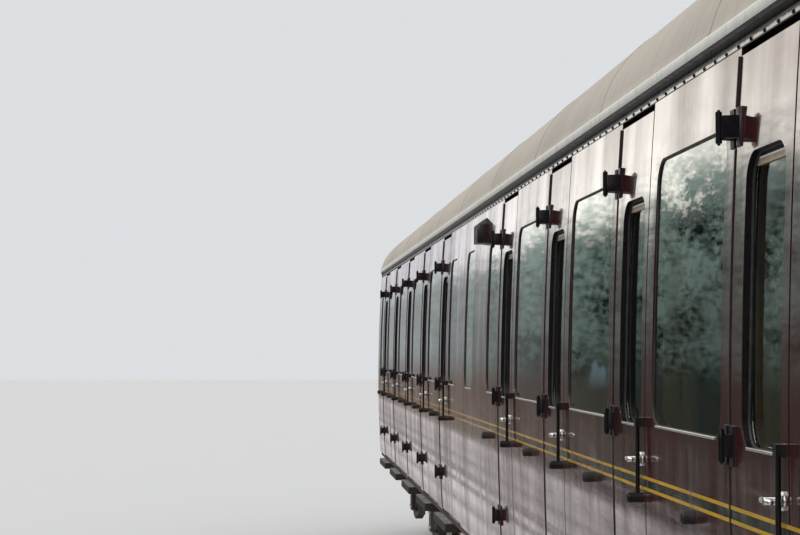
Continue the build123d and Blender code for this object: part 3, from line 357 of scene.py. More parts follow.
def roof_paint(band, wear):
    """Tan roof paint with darker cross streaks, over a stained white gutter and a gloss maroon cantrail."""
    settings = bpy.context.scene.coach
    material, s = new_material("roof paint")
    place = s.place()
    height = s.axes(place)[2]
    streaks = s.noise(place, 1.0, 6, 0.6, stretch=(9, 0.6, 0.6))
    broad = s.noise(place, 0.8, 4)
    tan = (*settings.roof_colour, 1)
    colour = s.mix(s.ramp(streaks, 0.5, 0.75, 0.0, 0.55), tan, (0.27, 0.22, 0.175, 1))
    colour = s.mix(s.ramp(broad, 0.45, 0.7, 0.0, 0.45), colour, (0.25, 0.21, 0.175, 1))
    worn = s.group(wear, Place=place, Colour=colour, Under=(0.24, 0.20, 0.17, 1), Scale=9.0, Amount=0.3)
    below = s.math("LESS_THAN", height, GUTTER_TOP + 0.006)
    streaked = s.ramp(s.noise(place, 1.0, 5, stretch=(22, 1, 1)), 0.45, 0.8, 0.0, 0.4)
    gutter = s.mix(streaked, (0.76, 0.74, 0.69, 1), (0.40, 0.37, 0.32, 1))
    colour = s.mix(below, worn["Colour"], gutter)
    cantrail = s.math("LESS_THAN", height, GUTTER_Z - 0.001)
    colour = s.mix(cantrail, colour, (*settings.paint_colour, 1))
    shadow = (0.004, 0.004, 0.004, 1)
    rows = ((GUTTER_Z - 0.0125, 0.0145, shadow), (CANTRAIL_Z, 0.005, shadow))
    colour = painted_rows(s, band, place, colour, rows)
    shaded = s.math("MAXIMUM", *(s.math("COMPARE", height, middle, half) for middle, half, paint in rows))
    gloss = s.math("MULTIPLY", cantrail, s.math("SUBTRACT", 1.0, shaded))
    relief = s.math("ADD", s.math("MULTIPLY", streaks, 0.8), s.math("MULTIPLY", worn["Height"], 0.25))
    tilted = s.node("ShaderNodeVectorMath", operation="ADD")
    s.put(s.node("ShaderNodeNewGeometry").outputs["Normal"], tilted.inputs[0])
    s.put((0, 0, 0.09), tilted.inputs[1])
    s.surface(
        Base_Color=colour,
        Roughness=s.ramp(cantrail, 0.0, 1.0, 0.62, 0.3),
        Specular_IOR_Level=s.math("MULTIPLY_ADD", shaded, -0.47, 0.5),
        Coat_Weight=gloss,
        Coat_Roughness=0.08,
        Coat_Normal=s.bump(s.noise(place, 1.0, 3, stretch=(16, 4, 40)), 0.0012, normal=tilted.outputs[0]),
        Normal=s.bump(relief, 0.006, 0.8),
    )
    return material


def worn_paint(name, colour, under, groups, roughness, dust, chips, shine):
    """Flat paint on frames and fittings, chipped and dusty. dust gives its amount, low end and high end."""
    dust_tree, wear_tree = groups
    amount, low, high = dust
    brown_dust = (0.15, 0.11, 0.08, 1)
    material, s = new_material(name)
    place = s.place()
    worn = s.group(wear_tree, Place=place, Colour=colour, Under=under, Scale=34.0, Amount=chips)
    dusty = s.group(
        dust_tree, Place=place, Colour=worn["Colour"], Dust=brown_dust, Low=low, High=high, Amount=amount
    )
    rough = s.ramp(s.noise(place, 24, 5), 0.3, 0.75, roughness - 0.1, roughness + 0.2)
    height = s.math("ADD", worn["Height"], s.math("MULTIPLY", s.noise(place, 90, 4), 0.5))
    s.surface(
        Base_Color=dusty["Colour"],
        Roughness=rough,
        Normal=s.bump(height, 0.0012, 0.6),
        Specular_IOR_Level=shine,
    )
    return material


def bare_metal(name, colour, roughness, dirt=0.25):
    """Polished metal with finger marks and dirt in patches."""
    material, s = new_material(name)
    place = s.place()
    dirty = s.ramp(s.noise(place, 40, 6, 0.7), 0.52, 0.75, 0.0, dirt)
    tint = s.mix(dirty, colour, (0.05, 0.04, 0.035, 1))
    grain = s.noise(place, 220)
    rough = s.math("MULTIPLY_ADD", grain, 0.12, s.math("MULTIPLY_ADD", dirty, 0.5, roughness))
    s.surface(Base_Color=tint, Metallic=1.0, Roughness=rough, Normal=s.bump(grain, 0.0003, 0.25))
    return material


def window_rail(band):
    """The rail on a drop light: tanned alloy, with a painted highlight as a bright bead under the black strip
    it shuts into.
    """
    material, s = new_material("window rail")
    place = s.place()
    grain = s.ramp(s.noise(place, 30, 5, stretch=(1, 1, 9)), 0.3, 0.7)
    colour = s.mix(grain, (0.24, 0.165, 0.12, 1), (0.42, 0.31, 0.24, 1))
    rows = (
        (DROPLIGHT[1] - 0.008, 0.0085, (0.008, 0.007, 0.007, 1)),
        # A painted highlight: the bright bead under the black strip.
        (DROPLIGHT[1] - 0.019, 0.003, (0.8, 0.78, 0.74, 1)),
    )
    colour = painted_rows(s, band, place, colour, rows)
    s.surface(Base_Color=colour, Roughness=0.45, Specular_IOR_Level=0.35)
    return material


def rubber(name, colour, roughness):
    """Dull rubber with fine dust caught in its grain."""
    material, s = new_material(name)
    place = s.place()
    chalk = s.ramp(s.noise(place, 30, 6, 0.7), 0.45, 0.8, 0.0, 0.25)
    tint = s.mix(chalk, colour, (0.10, 0.095, 0.09, 1))
    s.surface(
        Base_Color=tint,
        Roughness=s.math("MULTIPLY_ADD", chalk, 0.25, roughness),
        Normal=s.bump(s.noise(place, 400, 2), 0.0004, 0.5),
    )
    return material


def window_glass():
    """Clear glass, faintly green, with wiped dust towards its edges."""
    material, s = new_material("window glass")
    place = s.place()
    film = s.ramp(s.noise(place, 3.2, 6, 0.6), 0.35, 0.8, 0.0, 0.035)
    runs = s.ramp(s.noise(place, 1.0, 4, stretch=(30, 30, 1.5)), 0.5, 0.8, 0.0, 0.03)
    s.surface(
        Base_Color=(0.70, 0.82, 0.76, 1),
        Roughness=s.math("ADD", film, runs),
        Transmission_Weight=1.0,
        IOR=1.5,
    )
    return material


def frosted_glass():
    """The white film on the lavatory panes."""
    material, s = new_material("frosted glass")
    grain = s.noise(s.place(), 260, 3)
    tone = s.mix(s.ramp(grain, 0.3, 0.7), (0.62, 0.66, 0.64, 1), (0.75, 0.78, 0.76, 1))
    s.surface(Base_Color=tone, Roughness=0.75, Normal=s.bump(grain, 0.001, 0.6))
    return material


def moquette():
    """Woven seat cloth: a fine check of blue and green threads with a soft nap."""
    settings = bpy.context.scene.coach
    material, s = new_material("seat moquette")
    place = s.place()
    x, y, z = s.axes(place)

    def wave(along, turns):
        return s.math("SINE", s.math("MULTIPLY", along, turns))

    thread = 2 * math.pi / 0.006
    weave = s.math("MULTIPLY", wave(y, thread), wave(s.math("ADD", x, z), thread))
    block = s.math("MULTIPLY", wave(y, 70), wave(x, 70))
    colour = s.mix(s.ramp(block, -0.2, 0.2), (*settings.seat_colour, 1), (0.03, 0.09, 0.10, 1))
    colour = s.mix(s.ramp(weave, 0.5, 0.9, 0.0, 0.5), colour, (0.35, 0.25, 0.08, 1))
    nap = s.noise(place, 600, 3)
    height = s.math("MULTIPLY_ADD", weave, 0.5, nap)
    s.surface(
        Base_Color=colour,
        Roughness=s.ramp(nap, 0.3, 0.7, 0.8, 0.95),
        Sheen_Weight=0.35,
        Normal=s.bump(height, 0.0012, 0.5),
    )
    return material


def veneer():
    """Varnished wood-grain panelling."""
    material, s = new_material("varnished veneer")
    place = s.place()
    grain = s.noise(place, 1.6, 8, 0.6, stretch=(9, 9, 0.7))
    fine = s.noise(place, 12, 4, stretch=(14, 14, 0.4))
    colour = s.mix(s.ramp(grain, 0.35, 0.65), (0.23, 0.11, 0.045, 1), (0.42, 0.24, 0.11, 1))
    colour = s.mix(s.ramp(fine, 0.5, 0.8, 0.0, 0.4), colour, (0.10, 0.045, 0.02, 1))
    s.surface(Base_Color=colour, Roughness=s.ramp(grain, 0.3, 0.7, 0.25, 0.4), Coat_Weight=0.5)
    return material


def step_wood():
    """Footstep boards: dark sides, and a top painted paler as light falling on it, scuffed in patches by
    shoes and rain.
    """
    material, s = new_material("step boards")
    place = s.place()
    normal = s.node("ShaderNodeNewGeometry").outputs["Normal"]
    # Upward faces take the paler colour, a painted light on the tops with real scuffs in it. The sides stay
    # dark as painted shade.
    up = s.ramp(s.axes(normal)[2], 0.5, 0.9)
    grain = s.noise(place, 3.0, 7, stretch=(1.2, 26, 26))
    scuff = s.ramp(s.noise(place, 7, 6, 0.65), 0.35, 0.7)
    dark = s.mix(grain, (0.007, 0.006, 0.006, 1), (0.016, 0.013, 0.012, 1))
    pale = s.mix(scuff, (0.055, 0.052, 0.05, 1), (0.20, 0.195, 0.19, 1))
    colour = s.mix(up, dark, pale)
    s.surface(
        Base_Color=colour,
        Roughness=s.ramp(grain, 0.3, 0.7, 0.6, 0.85),
        Normal=s.bump(s.math("ADD", grain, s.math("MULTIPLY", scuff, 0.3)), 0.003, 0.6),
    )
    return material


def floor_covering():
    """Speckled brown floor sheet, polished by feet in patches."""
    material, s = new_material("floor covering")
    place = s.place()
    speck = s.noise(place, 130, 4)
    colour = s.mix(s.ramp(speck, 0.42, 0.6), (0.10, 0.055, 0.04, 1), (0.19, 0.12, 0.085, 1))
    s.surface(Base_Color=colour, Roughness=s.ramp(s.noise(place, 6, 5), 0.3, 0.7, 0.3, 0.6))
    return material


MATERIALS = {}


def build_materials():
    """Makes each shader group once, and every finish from them."""
    settings = bpy.context.scene.coach
    dust, band, wear = road_dust_group(), band_group(), wear_group()
    maroon = (*settings.paint_colour, 1)
    rust = (0.16, 0.07, 0.035, 1)
    soot = (0.006, 0.006, 0.006, 1)

    def paint(name, colour, under, roughness, dusting, chips=0.35, shine=0.5):
        return worn_paint(name, (*colour, 1), under, (dust, wear), roughness, dusting, chips, shine)

    MATERIALS.update(
        body=coach_paint("coach enamel, lined", maroon, dust, band),
        roof=roof_paint(band, wear),
        end=paint("end wall paint", (0.02, 0.016, 0.016), rust, 0.42, (0.6, 0.9, 3.2), 0.2),
        hinge=paint(
            "hinge paint", (0.006, 0.004, 0.006), (0.02, 0.013, 0.012, 1), 0.35, (0.05, 0.9, 3.0), 0.1, 0.18
        ),
        iron=paint("black ironwork", soot[:3], rust, 0.35, (0.08, 0.9, 3.0), 0.1, 0.18),
        frame=paint("underframe paint", (0.016, 0.015, 0.015), rust, 0.65, (0.95, 0.3, 1.5), 0.4),
        bogie=paint("bogie paint", (0.02, 0.018, 0.016), rust, 0.7, (1.2, 0.1, 1.4), 0.5),
        wheel=paint("wheel rust", (0.10, 0.055, 0.035), (0.05, 0.035, 0.03, 1), 0.7, (0.8, 0, 1.2)),
        cream=paint("inside cream", (0.60, 0.54, 0.42), (0.4, 0.33, 0.25, 1), 0.45, (0.1, 0, 2), 0.05),
        tread=bare_metal("polished tread", (0.55, 0.53, 0.50, 1), 0.22),
        chrome=bare_metal("chrome handle", (0.66, 0.66, 0.65, 1), 0.2, 0.5),
        steel=bare_metal("dull steel", (0.42, 0.40, 0.38, 1), 0.38, 0.6),
        sill=bare_metal("window rim alloy", (0.80, 0.79, 0.76, 1), 0.28, 0.4),
        rail=window_rail(band),
        rubber=rubber("black rubber", soot, 0.6),
        bellows=rubber("bellows rubber", (0.02, 0.02, 0.021, 1), 0.7),
        glass=window_glass(),
        frosted=frosted_glass(),
        moquette=moquette(),
        veneer=veneer(),
        steps=step_wood(),
        floor=floor_covering(),
    )


# Mesh tools

def new_piece(name, mesh, kinds, body):
    """Links a finished mesh, gives it its finishes and lets it ride on a body."""
    obj = bpy.data.objects.new(name, mesh)
    bpy.context.scene.collection.objects.link(obj)
    numbers = [polygon.material_index for polygon in mesh.polygons]
    mesh.materials.clear()
    for kind in kinds:
        mesh.materials.append(MATERIALS[kind])
    mesh.polygons.foreach_set("material_index", numbers)
    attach(obj, body)
    return obj


def smooth(mesh, degrees=32):
    """Smooth shading with hard edges kept."""
    mesh.polygons.foreach_set("use_smooth", [True] * len(mesh.polygons))
    mesh.set_sharp_from_angle(angle=math.radians(degrees))


def add_bevel(obj, width, segments=2):
    """Takes the sharpness off every hard edge."""
    bevel = obj.modifiers.new("eased edges", "BEVEL")
    bevel.width = width
    bevel.segments = segments
    bevel.limit_method = "ANGLE"
    bevel.angle_limit = math.radians(40)
    bevel.harden_normals = True


def one_finish(place, normal):
    """Sorts every face into the first finish."""
    return 0


def merged_mesh(node, degrees):
    """An editable copy of a CAD node, its facets joined up where they lie flat."""
    bm = bmesh.new()
    bm.from_mesh(frame["nodes"][node].data)
    bmesh.ops.remove_doubles(bm, verts=bm.verts, dist=MERGE)
    bmesh.ops.dissolve_limit(bm, angle_limit=math.radians(degrees), verts=bm.verts, edges=bm.edges)
    return bm


def sort_faces(bm, sort):
    """Gives each face the number of its finish."""
    for face in bm.faces:
        face.material_index = sort(face.calc_center_median(), face.normal)


def dressed_copy(node, body, kinds, sort=one_finish, bevel=0):
    """A merged copy of a CAD node whose faces are sorted into several finishes, shown in its place."""
    bm = merged_mesh(node, 0.3)
    sort_faces(bm, sort)
    mesh = frame["nodes"][node].data.copy()
    bm.to_mesh(mesh)
    bm.free()
    smooth(mesh)
    obj = new_piece(node + "_finish", mesh, kinds, body)
    if bevel:
        add_bevel(obj, bevel)
    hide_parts(node)


def paint_node(node, kind):
    """A CAD node that stays as it is, in a better finish."""
    mesh = frame["nodes"][node].data
    mesh.materials.clear()
    mesh.materials.append(MATERIALS[kind])


def add_box(bm, low, high):
    """An axis-aligned box between two opposite corners."""
    low, high = Vector(low), Vector(high)
    size = high - low
    scale = Matrix.Diagonal((abs(size.x), abs(size.y), abs(size.z), 1))
    bmesh.ops.create_cube(bm, size=1, matrix=Matrix.Translation((low + high) / 2) @ scale)


def add_tube(bm, rings):
    """A closed bar through rings of four corners each."""
    for near, far in zip(rings, rings[1:]):
        for corner in range(4):
            following = (corner + 1) % 4
            bm.faces.new((near[corner], near[following], far[following], far[corner]))
    bm.faces.new(rings[0][::-1])
    bm.faces.new(rings[-1])


def mesh_of(name, bm, outward=False):
    """Turns an editable mesh into a plain one, with its faces turned outwards where asked."""
    if outward:
        bmesh.ops.recalc_face_normals(bm, faces=bm.faces)
    mesh = bpy.data.meshes.new(name)
    bm.normal_update()
    bm.to_mesh(mesh)
    bm.free()
    return mesh


# Geometry Nodes

INTEGER, MATERIAL = "NodeSocketInt", "NodeSocketMaterial"


def node_tree(name, inputs):
    """An empty geometry tree with a geometry input, a geometry output and named inputs."""
    tree = bpy.data.node_groups.new(name, "GeometryNodeTree")
    tree.interface.new_socket("Geometry", in_out="INPUT", socket_type="NodeSocketGeometry")
    for label, kind, default in inputs:
        socket = tree.interface.new_socket(label, in_out="INPUT", socket_type=kind)
        if default is not None:
            socket.default_value = default
    tree.interface.new_socket("Geometry", in_out="OUTPUT", socket_type="NodeSocketGeometry")
    return tree, tree.nodes.new("NodeGroupInput"), tree.nodes.new("NodeGroupOutput")


def feed(tree, given, sockets):
    """Leads named inputs to sockets: (name, socket)."""
    for label, socket in sockets:
        tree.links.new(given.outputs[label], socket)


def end_tree(tree, geometry, given, result):
    """Realizes the instances and sets the material, as every tree here ends."""
    realize = tree.nodes.new("GeometryNodeRealizeInstances")
    paint = tree.nodes.new("GeometryNodeSetMaterial")
    tree.links.new(geometry, realize.inputs[0])
    tree.links.new(realize.outputs[0], paint.inputs["Geometry"])
    tree.links.new(given.outputs["Material"], paint.inputs["Material"])
    tree.links.new(paint.outputs[0], result.inputs[0])


def seal_tree():
    """A round bead swept round a rectangle with rounded corners, in X and Y."""
    inputs = (
        ("Width", FLOAT, 1.0),
        ("Height", FLOAT, 1.0),
        ("Corner", FLOAT, 0.09),
        ("Bead", FLOAT, 0.008),
        ("Steps", INTEGER, 7),
        ("Sides", INTEGER, 8),
        ("Material", MATERIAL, None),
    )
    tree, given, result = node_tree("rounded seal", inputs)
    outline = tree.nodes.new("GeometryNodeCurvePrimitiveQuadrilateral")
    fillet = tree.nodes.new("GeometryNodeFilletCurve")
    fillet.mode = "POLY"
    section = tree.nodes.new("GeometryNodeCurvePrimitiveCircle")
    sweep = tree.nodes.new("GeometryNodeCurveToMesh")
    feed(tree, given, (
        ("Width", outline.inputs["Width"]),
        ("Height", outline.inputs["Height"]),
        ("Corner", fillet.inputs["Radius"]),
        ("Steps", fillet.inputs["Count"]),
        ("Sides", section.inputs["Resolution"]),
        ("Bead", section.inputs["Radius"]),
    ))
    tree.links.new(outline.outputs[0], fillet.inputs["Curve"])
    tree.links.new(fillet.outputs[0], sweep.inputs["Curve"])
    tree.links.new(section.outputs[0], sweep.inputs["Profile Curve"])
    end_tree(tree, sweep.outputs[0], given, result)
    return tree


def stud_tree():
    """A stud or bolt head on every point, standing along the point's own aim."""
    inputs = (
        ("Radius", FLOAT, 0.01),
        ("Height", FLOAT, 0.006),
        ("Sides", INTEGER, 6),
        ("Material", MATERIAL, None),
    )
    tree, given, result = node_tree("studs on points", inputs)
    head = tree.nodes.new("GeometryNodeMeshCone")
    taper = tree.nodes.new("ShaderNodeMath")
    taper.operation = "MULTIPLY"
    taper.inputs[1].default_value = 0.8
    aim = tree.nodes.new("GeometryNodeInputNamedAttribute")
    aim.data_type = "FLOAT_VECTOR"
    aim.inputs["Name"].default_value = "aim"
    turn = tree.nodes.new("FunctionNodeAlignEulerToVector")
    turn.axis = "Z"
    place = tree.nodes.new("GeometryNodeInstanceOnPoints")
    feed(tree, given, (
        ("Geometry", place.inputs["Points"]),
        ("Sides", head.inputs["Vertices"]),
        ("Radius", head.inputs["Radius Bottom"]),
        ("Radius", taper.inputs[0]),
        ("Height", head.inputs["Depth"]),
    ))
    tree.links.new(taper.outputs[0], head.inputs["Radius Top"])
    tree.links.new(head.outputs["Mesh"], place.inputs["Instance"])
    tree.links.new(aim.outputs["Attribute"], turn.inputs["Vector"])
    tree.links.new(turn.outputs[0], place.inputs["Rotation"])
    end_tree(tree, place.outputs[0], given, result)
    return tree


def clip_tree():
    """Equal blocks in a row along X, set out from a first place at an even pitch."""
    inputs = (
        ("Count", INTEGER, 10),
        ("Pitch", FLOAT, 0.145),
        ("Length", FLOAT, 0.03),
        ("Depth", FLOAT, 0.012),
        ("Height", FLOAT, 0.02),
        ("Material", MATERIAL, None),
    )
    tree, given, result = node_tree("clips in a row", inputs)
    line = tree.nodes.new("GeometryNodeMeshLine")
    step = tree.nodes.new("ShaderNodeCombineXYZ")
    size = tree.nodes.new("ShaderNodeCombineXYZ")
    cube = tree.nodes.new("GeometryNodeMeshCube")
    place = tree.nodes.new("GeometryNodeInstanceOnPoints")
    feed(tree, given, (
        ("Count", line.inputs["Count"]),
        ("Pitch", step.inputs[0]),
        *zip(("Length", "Depth", "Height"), size.inputs),
    ))
    tree.links.new(step.outputs[0], line.inputs["Offset"])
    tree.links.new(size.outputs[0], cube.inputs["Size"])
    tree.links.new(line.outputs[0], place.inputs["Points"])
    tree.links.new(cube.outputs["Mesh"], place.inputs["Instance"])
    end_tree(tree, place.outputs[0], given, result)
    return tree


TREES = {}


def grow(tree_name, kind, base=None, **values):
    """Runs a tree in one finish over a base mesh, and returns the plain mesh that it makes."""
    tree = TREES[tree_name]
    values["Material"] = MATERIALS[kind]
    obj = bpy.data.objects.new("grown", base or bpy.data.meshes.new("base"))
    bpy.context.scene.collection.objects.link(obj)
    modifier = obj.modifiers.new("grown", "NODES")
    modifier.node_group = tree
    for item in tree.interface.items_tree:
        if item.in_out == "INPUT" and item.name in values:
            modifier[item.identifier] = values[item.name]
    bpy.context.view_layer.update()
    evaluated = obj.evaluated_get(bpy.context.evaluated_depsgraph_get())
    grown = bpy.data.meshes.new_from_object(evaluated)
    obj.modifiers.remove(modifier)
    bpy.data.objects.remove(obj)
    return grown


def studs(name, places, kind, body, radius, height, sides):
    """Studs at (place, aim) pairs, as one mesh on one body."""
    base = bpy.data.meshes.new("points")
    base.from_pydata([place for place, aim in places], [], [])
    layer = base.attributes.new("aim", "FLOAT_VECTOR", "POINT")
    layer.data.foreach_set("vector", [number for place, aim in places for number in aim])
    mesh = grow("studs", kind, base, Radius=radius, Height=height, Sides=sides)
    new_piece(name, mesh, (kind,), body)


def join_meshes(name, parts):
    """One mesh from (mesh, function of a vertex place) pairs."""
    bm = bmesh.new()
    for mesh, move in parts:
        start = len(bm.verts)
        bm.from_mesh(mesh)
        bm.verts.ensure_lookup_table()
        for vert in bm.verts[start:]:
            vert.co = move(vert.co.copy())
    return mesh_of(name, bm, outward=True)


def on_side(side, x, z, out):
    """Lays a flat shape drawn in X and Y on the body's side, following its curve. side is 1 or -1."""

    def move(point):
        height = z + point.y
        return Vector((x + point.x, side * (side_y(height, out) + point.z), height))

    return move


def side_of(body):
    """1 for a door on the left side, and -1 for one on the right."""
    return 1 if "_left_" in body else -1


def side_at(place):
    """1 for a place on the left side of the coach, and -1 on the right."""
    return 1 if place.y > 0 else -1


def door_point(body, from_pin, out, z):
    """A place on a door, given from its pin line and out from its skin."""
    pin = PIVOTS[body]
    side = side_of(body)
    return Vector((pin.x + side * from_pin, side * side_y(z, out), z))


def door_local(body, point):
    """How far a point lies from the door's pin line towards the latch (negative), and out from its skin."""
    pin = PIVOTS[body]
    side = side_of(body)
    return side * (point.x - pin.x), side * point.y - side_y(point.z)


# Side normals: panels, doors and panes are all drawn about one long axis, so they reflect as one surface

def follow_side(mesh):
    """Gives faces that follow the side's curve its exact normal, so that facets don't show in reflections."""
    smooth(mesh)
    normals = [Vector()] * len(mesh.loops)
    for polygon in mesh.polygons:
        if abs(polygon.normal.x) > 0.2:
            continue
        for loop in polygon.loop_indices:
            place = mesh.vertices[mesh.loops[loop].vertex_index].co
            from_axis = place.y + side_at(place) * (SIDE_RADIUS - HALF_WIDTH)
            outward = Vector((0, from_axis, place.z - WIDEST_Z)).normalized()
            facing = polygon.normal.dot(outward)
            if abs(facing) > 0.999:
                normals[loop] = outward if facing > 0 else -outward
    mesh.normals_split_custom_set(normals)


def faces_in(place, normal):
    """True for a face that looks into the body from its side."""
    return normal.y * side_at(place) < -0.9


def ease_skin_edges(bm, width):
    """Rounds the hard edges that bound the outer skin."""
    edges = []
    for edge in bm.edges:
        if edge.is_manifold and edge.calc_face_angle() > math.radians(50):
            if all(abs(abs(vert.co.y) - side_y(vert.co.z)) < ON_SKIN for vert in edge.verts):
                edges.append(edge)
    bmesh.ops.bevel(
        bm, geom=edges, offset=width, segments=2, profile=0.5, affect="EDGES", clamp_overlap=True
    )


def skin_copy(node, body, kinds, sort=one_finish, width=0.002):
    """A dressed copy of a panel, door or pane: edges eased, finishes sorted, normals on the side's curve."""
    bm = merged_mesh(node, 0.1)
    if width:
        ease_skin_edges(bm, width)
    sort_faces(bm, sort)
    bmesh.ops.triangulate(bm, faces=[face for face in bm.faces if len(face.verts) > 4])
    mesh = frame["nodes"][node].data.copy()
    bm.to_mesh(mesh)
    bm.free()
    follow_side(mesh)
    obj = new_piece(node + "_finish", mesh, kinds, body)
    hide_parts(node)


# Doors

def dress_door(body):
    """Sorts one leaf into enamel, chrome T-handle, black grab handle, dark hinges, veneer, and the sides of
    the drop light's recess in dark hinge paint as painted shade.
    """
    enamel, chrome, iron, dark, veneered = range(5)
    half = DROPLIGHT_WIDTH / 2 + 0.001

    def sort(place, normal):
        from_pin, out = door_local(body, place)
        if out > PROUD:
            if from_pin > HINGE_FROM_PIN:
                return dark
            from_boss = math.hypot(from_pin - HANDLE_FROM_PIN, place.z - HANDLE_Z)
            bar = out > 0.033 and from_boss < 0.055
            boss = out < 0.0115 and from_boss < 0.0275
            spindle = from_boss < 0.0115
            if bar or boss or spindle:
                return chrome
            if from_pin < GRAB_FROM_PIN:
                return iron
        # The sides of the drop light's opening take the dark hinge paint: painted shade in the recess.
        edge = abs(normal.x) > 0.05 or abs(normal.y) < 0.9
        across = abs(from_pin - DROPLIGHT_FROM_PIN) < half
        upward = DROPLIGHT[0] - 0.001 < place.z < DROPLIGHT[1] + 0.001
        if edge and across and upward and -0.05 < out < -0.0022:
            return dark
        return veneered if faces_in(place, normal) else enamel

    skin_copy(body, body, ("body", "chrome", "iron", "hinge", "veneer"), sort)


def dress_door_glass(body):
    """The pane in glass, and the rail along its top in tanned alloy."""
    node = body + "_glass"
    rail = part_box(node)[1].z - 0.0405
    skin_copy(node, body, ("glass", "rail"), lambda place, normal: int(place.z > rail), 0)


def trim_door(body):
    """The rubber round a drop light's pane, the bright sill at its foot and the screws in its handle."""
    settings = bpy.context.scene.coach_fittings
    corner, depth, sill_end, boss_face, screw_step = 0.085, -0.024, 0.06, 0.0105, 0.008
    side = side_of(body)
    low, high = DROPLIGHT
    middle_z = (low + high) / 2
    middle = door_point(body, DROPLIGHT_FROM_PIN, 0, middle_z)
    bead = grow(
        "seal", "rubber", Width=DROPLIGHT_WIDTH, Height=high - low, Corner=corner,
        Bead=settings.door_bead, Steps=6, Sides=8,
    )
    seal = join_meshes(body + "_seal", [(bead, on_side(side, middle.x, middle_z, depth))])
    smooth(seal, 50)
    new_piece(body + "_seal", seal, ("rubber",), body)
    sill = bmesh.new()
    half = DROPLIGHT_WIDTH / 2 - sill_end
    sill_bar(sill, side, middle.x - half, middle.x + half, low)
    obj = new_piece(body + "_sill", mesh_of(body + "_sill", sill), ("sill",), body)
    add_bevel(obj, 0.002)
    aim = Vector((0, side, 0))
    screws = [
        (door_point(body, HANDLE_FROM_PIN + step, boss_face, HANDLE_Z + 2 * step), aim)
        for step in (-screw_step, screw_step)
    ]
    studs(body + "_screws", screws, "iron", body, 0.0045, 0.003, 8)


# Fixed windows and side fittings

def window_boxes():
    """(side, low, high) of every fixed pane, found in the CAD's own glass."""
    return [(side_at(low), low, high) for low, high in loose_boxes("window_glass")]


def loose_boxes(node):
    """The (low, high) corners of each separate solid of a node, front to back and left to right."""
    bm = bmesh.new()
    bm.from_mesh(frame["nodes"][node].data)
    bmesh.ops.remove_doubles(bm, verts=bm.verts, dist=MERGE)
    seen, boxes = set(), []
    for vert in bm.verts:
        if vert in seen:
            continue
        island, ahead = [vert], [vert]
        seen.add(vert)
        while ahead:
            for edge in ahead.pop().link_edges:
                for other in edge.verts:
                    if other not in seen:
                        seen.add(other)
                        island.append(other)
                        ahead.append(other)
        low = Vector([min(v.co[axis] for v in island) for axis in range(3)])
        high = Vector([max(v.co[axis] for v in island) for axis in range(3)])
        boxes.append((low, high))
    bm.free()
    return sorted(boxes, key=lambda pair: (-pair[0].x, -pair[0].y))


def seal_windows():
    """A thin black gasket inside the opening of each fixed pane."""
    bead = bpy.context.scene.coach_fittings.gasket_bead
    corner, depth = 0.086, -0.006
    parts = []
    for side, low, high in window_boxes():
        middle, size = (low + high) / 2, high - low
        ring = grow(
            "seal", "rubber", Width=size.x - bead, Height=size.z - bead, Corner=corner,
            Bead=bead, Steps=7, Sides=8,
        )
        parts.append((ring, on_side(side, middle.x, middle.z, depth)))
    mesh = join_meshes("window_gaskets", parts)
    smooth(mesh, 50)
    new_piece("window_gaskets", mesh, ("rubber",), COACH)


def sill_bar(bm, side, x0, x1, z):
    """A bright strip along the foot of one opening, half in its recess and half proud of the skin."""
    inner, outer = side_y(z, -0.007), side_y(z, 0.005)
    under, over = 0.003, 0.005
    add_box(bm, (x0, side * inner, z - under), (x1, side * outer, z + over))


def sill_strips():
    """A bright drip sill along the foot of each fixed window."""
    corner = 0.07
    bm = bmesh.new()
    for side, low, high in window_boxes():
        sill_bar(bm, side, low.x + corner, high.x - corner, low.z)
    obj = new_piece("window_sills", mesh_of("window_sills", bm), ("sill",), COACH)
    add_bevel(obj, 0.002)


def curved_bar(bm, side, xs, outs, zs, steps=10):
    """An upright bar that follows the side's curve, between two places along, out and up."""
    corners = ((xs[0], outs[0]), (xs[1], outs[0]), (xs[1], outs[1]), (xs[0], outs[1]))
    rings = []
    for step in range(steps + 1):
        z = zs[0] + (zs[1] - zs[0]) * step / steps
        rings.append([bm.verts.new((x, side * side_y(z, out), z)) for x, out in corners])
    add_tube(bm, rings)


# The posts that a door shuts against: along from its pin line, and out from the skin
POST_BACK = -0.064
POST_STOP = -0.0515
HINGE_POST, LATCH_POST = (-0.014, 0.024), (-0.636, -0.597)
POSTS = (
    (*HINGE_POST, POST_STOP),
    (0.0045, HINGE_POST[1], -0.0455),
    (*LATCH_POST, POST_STOP),
    (LATCH_POST[0], -0.6165, -0.0455),
)


def door_surrounds():
    """Rubber edge strips beside the hinges, and the posts and header that each door shuts against."""
    hinge_room, header_lap, clearance = 0.064, 0.014, 0.001
    strip, sunk, proud, proud_at_top = (0.0055, 0.0125), -0.002, 0.0035, 0.007
    bottom, top = FLOOR_TOP + clearance, CANTRAIL_Z - clearance
    rubbers, posts = bmesh.new(), bmesh.new()
    for body in DOORS:
        side, pin = side_of(body), PIVOTS[body].x

        def along(*offsets):
            return sorted(pin + side * offset for offset in offsets)

        marks = [DOOR_BOTTOM]
        for z in reversed(HINGE_HEIGHTS):
            marks += [z - hinge_room, z + hinge_room]
        marks.append(DOOR_TOP)
        for low, high in zip(marks[::2], marks[1::2]):
            outs = (sunk, proud_at_top if high == DOOR_TOP else proud)
            curved_bar(rubbers, side, along(*strip), outs, (low, high), 5)
        for near, far, face in POSTS:
            curved_bar(posts, side, along(near, far), (POST_BACK, face), (bottom, top))
        header = along(LATCH_POST[1], HINGE_POST[0])
        curved_bar(posts, side, header, (POST_BACK, POST_STOP), (DOOR_TOP - header_lap, top), 1)
    for name, bm, slot in (
        ("door_edge_rubbers", rubbers, "stop_rubber"),
        ("door_posts", posts, "end_paint"),
    ):
        new_piece(name, mesh_of(name, bm, outward=True), ("rubber",), COACH)


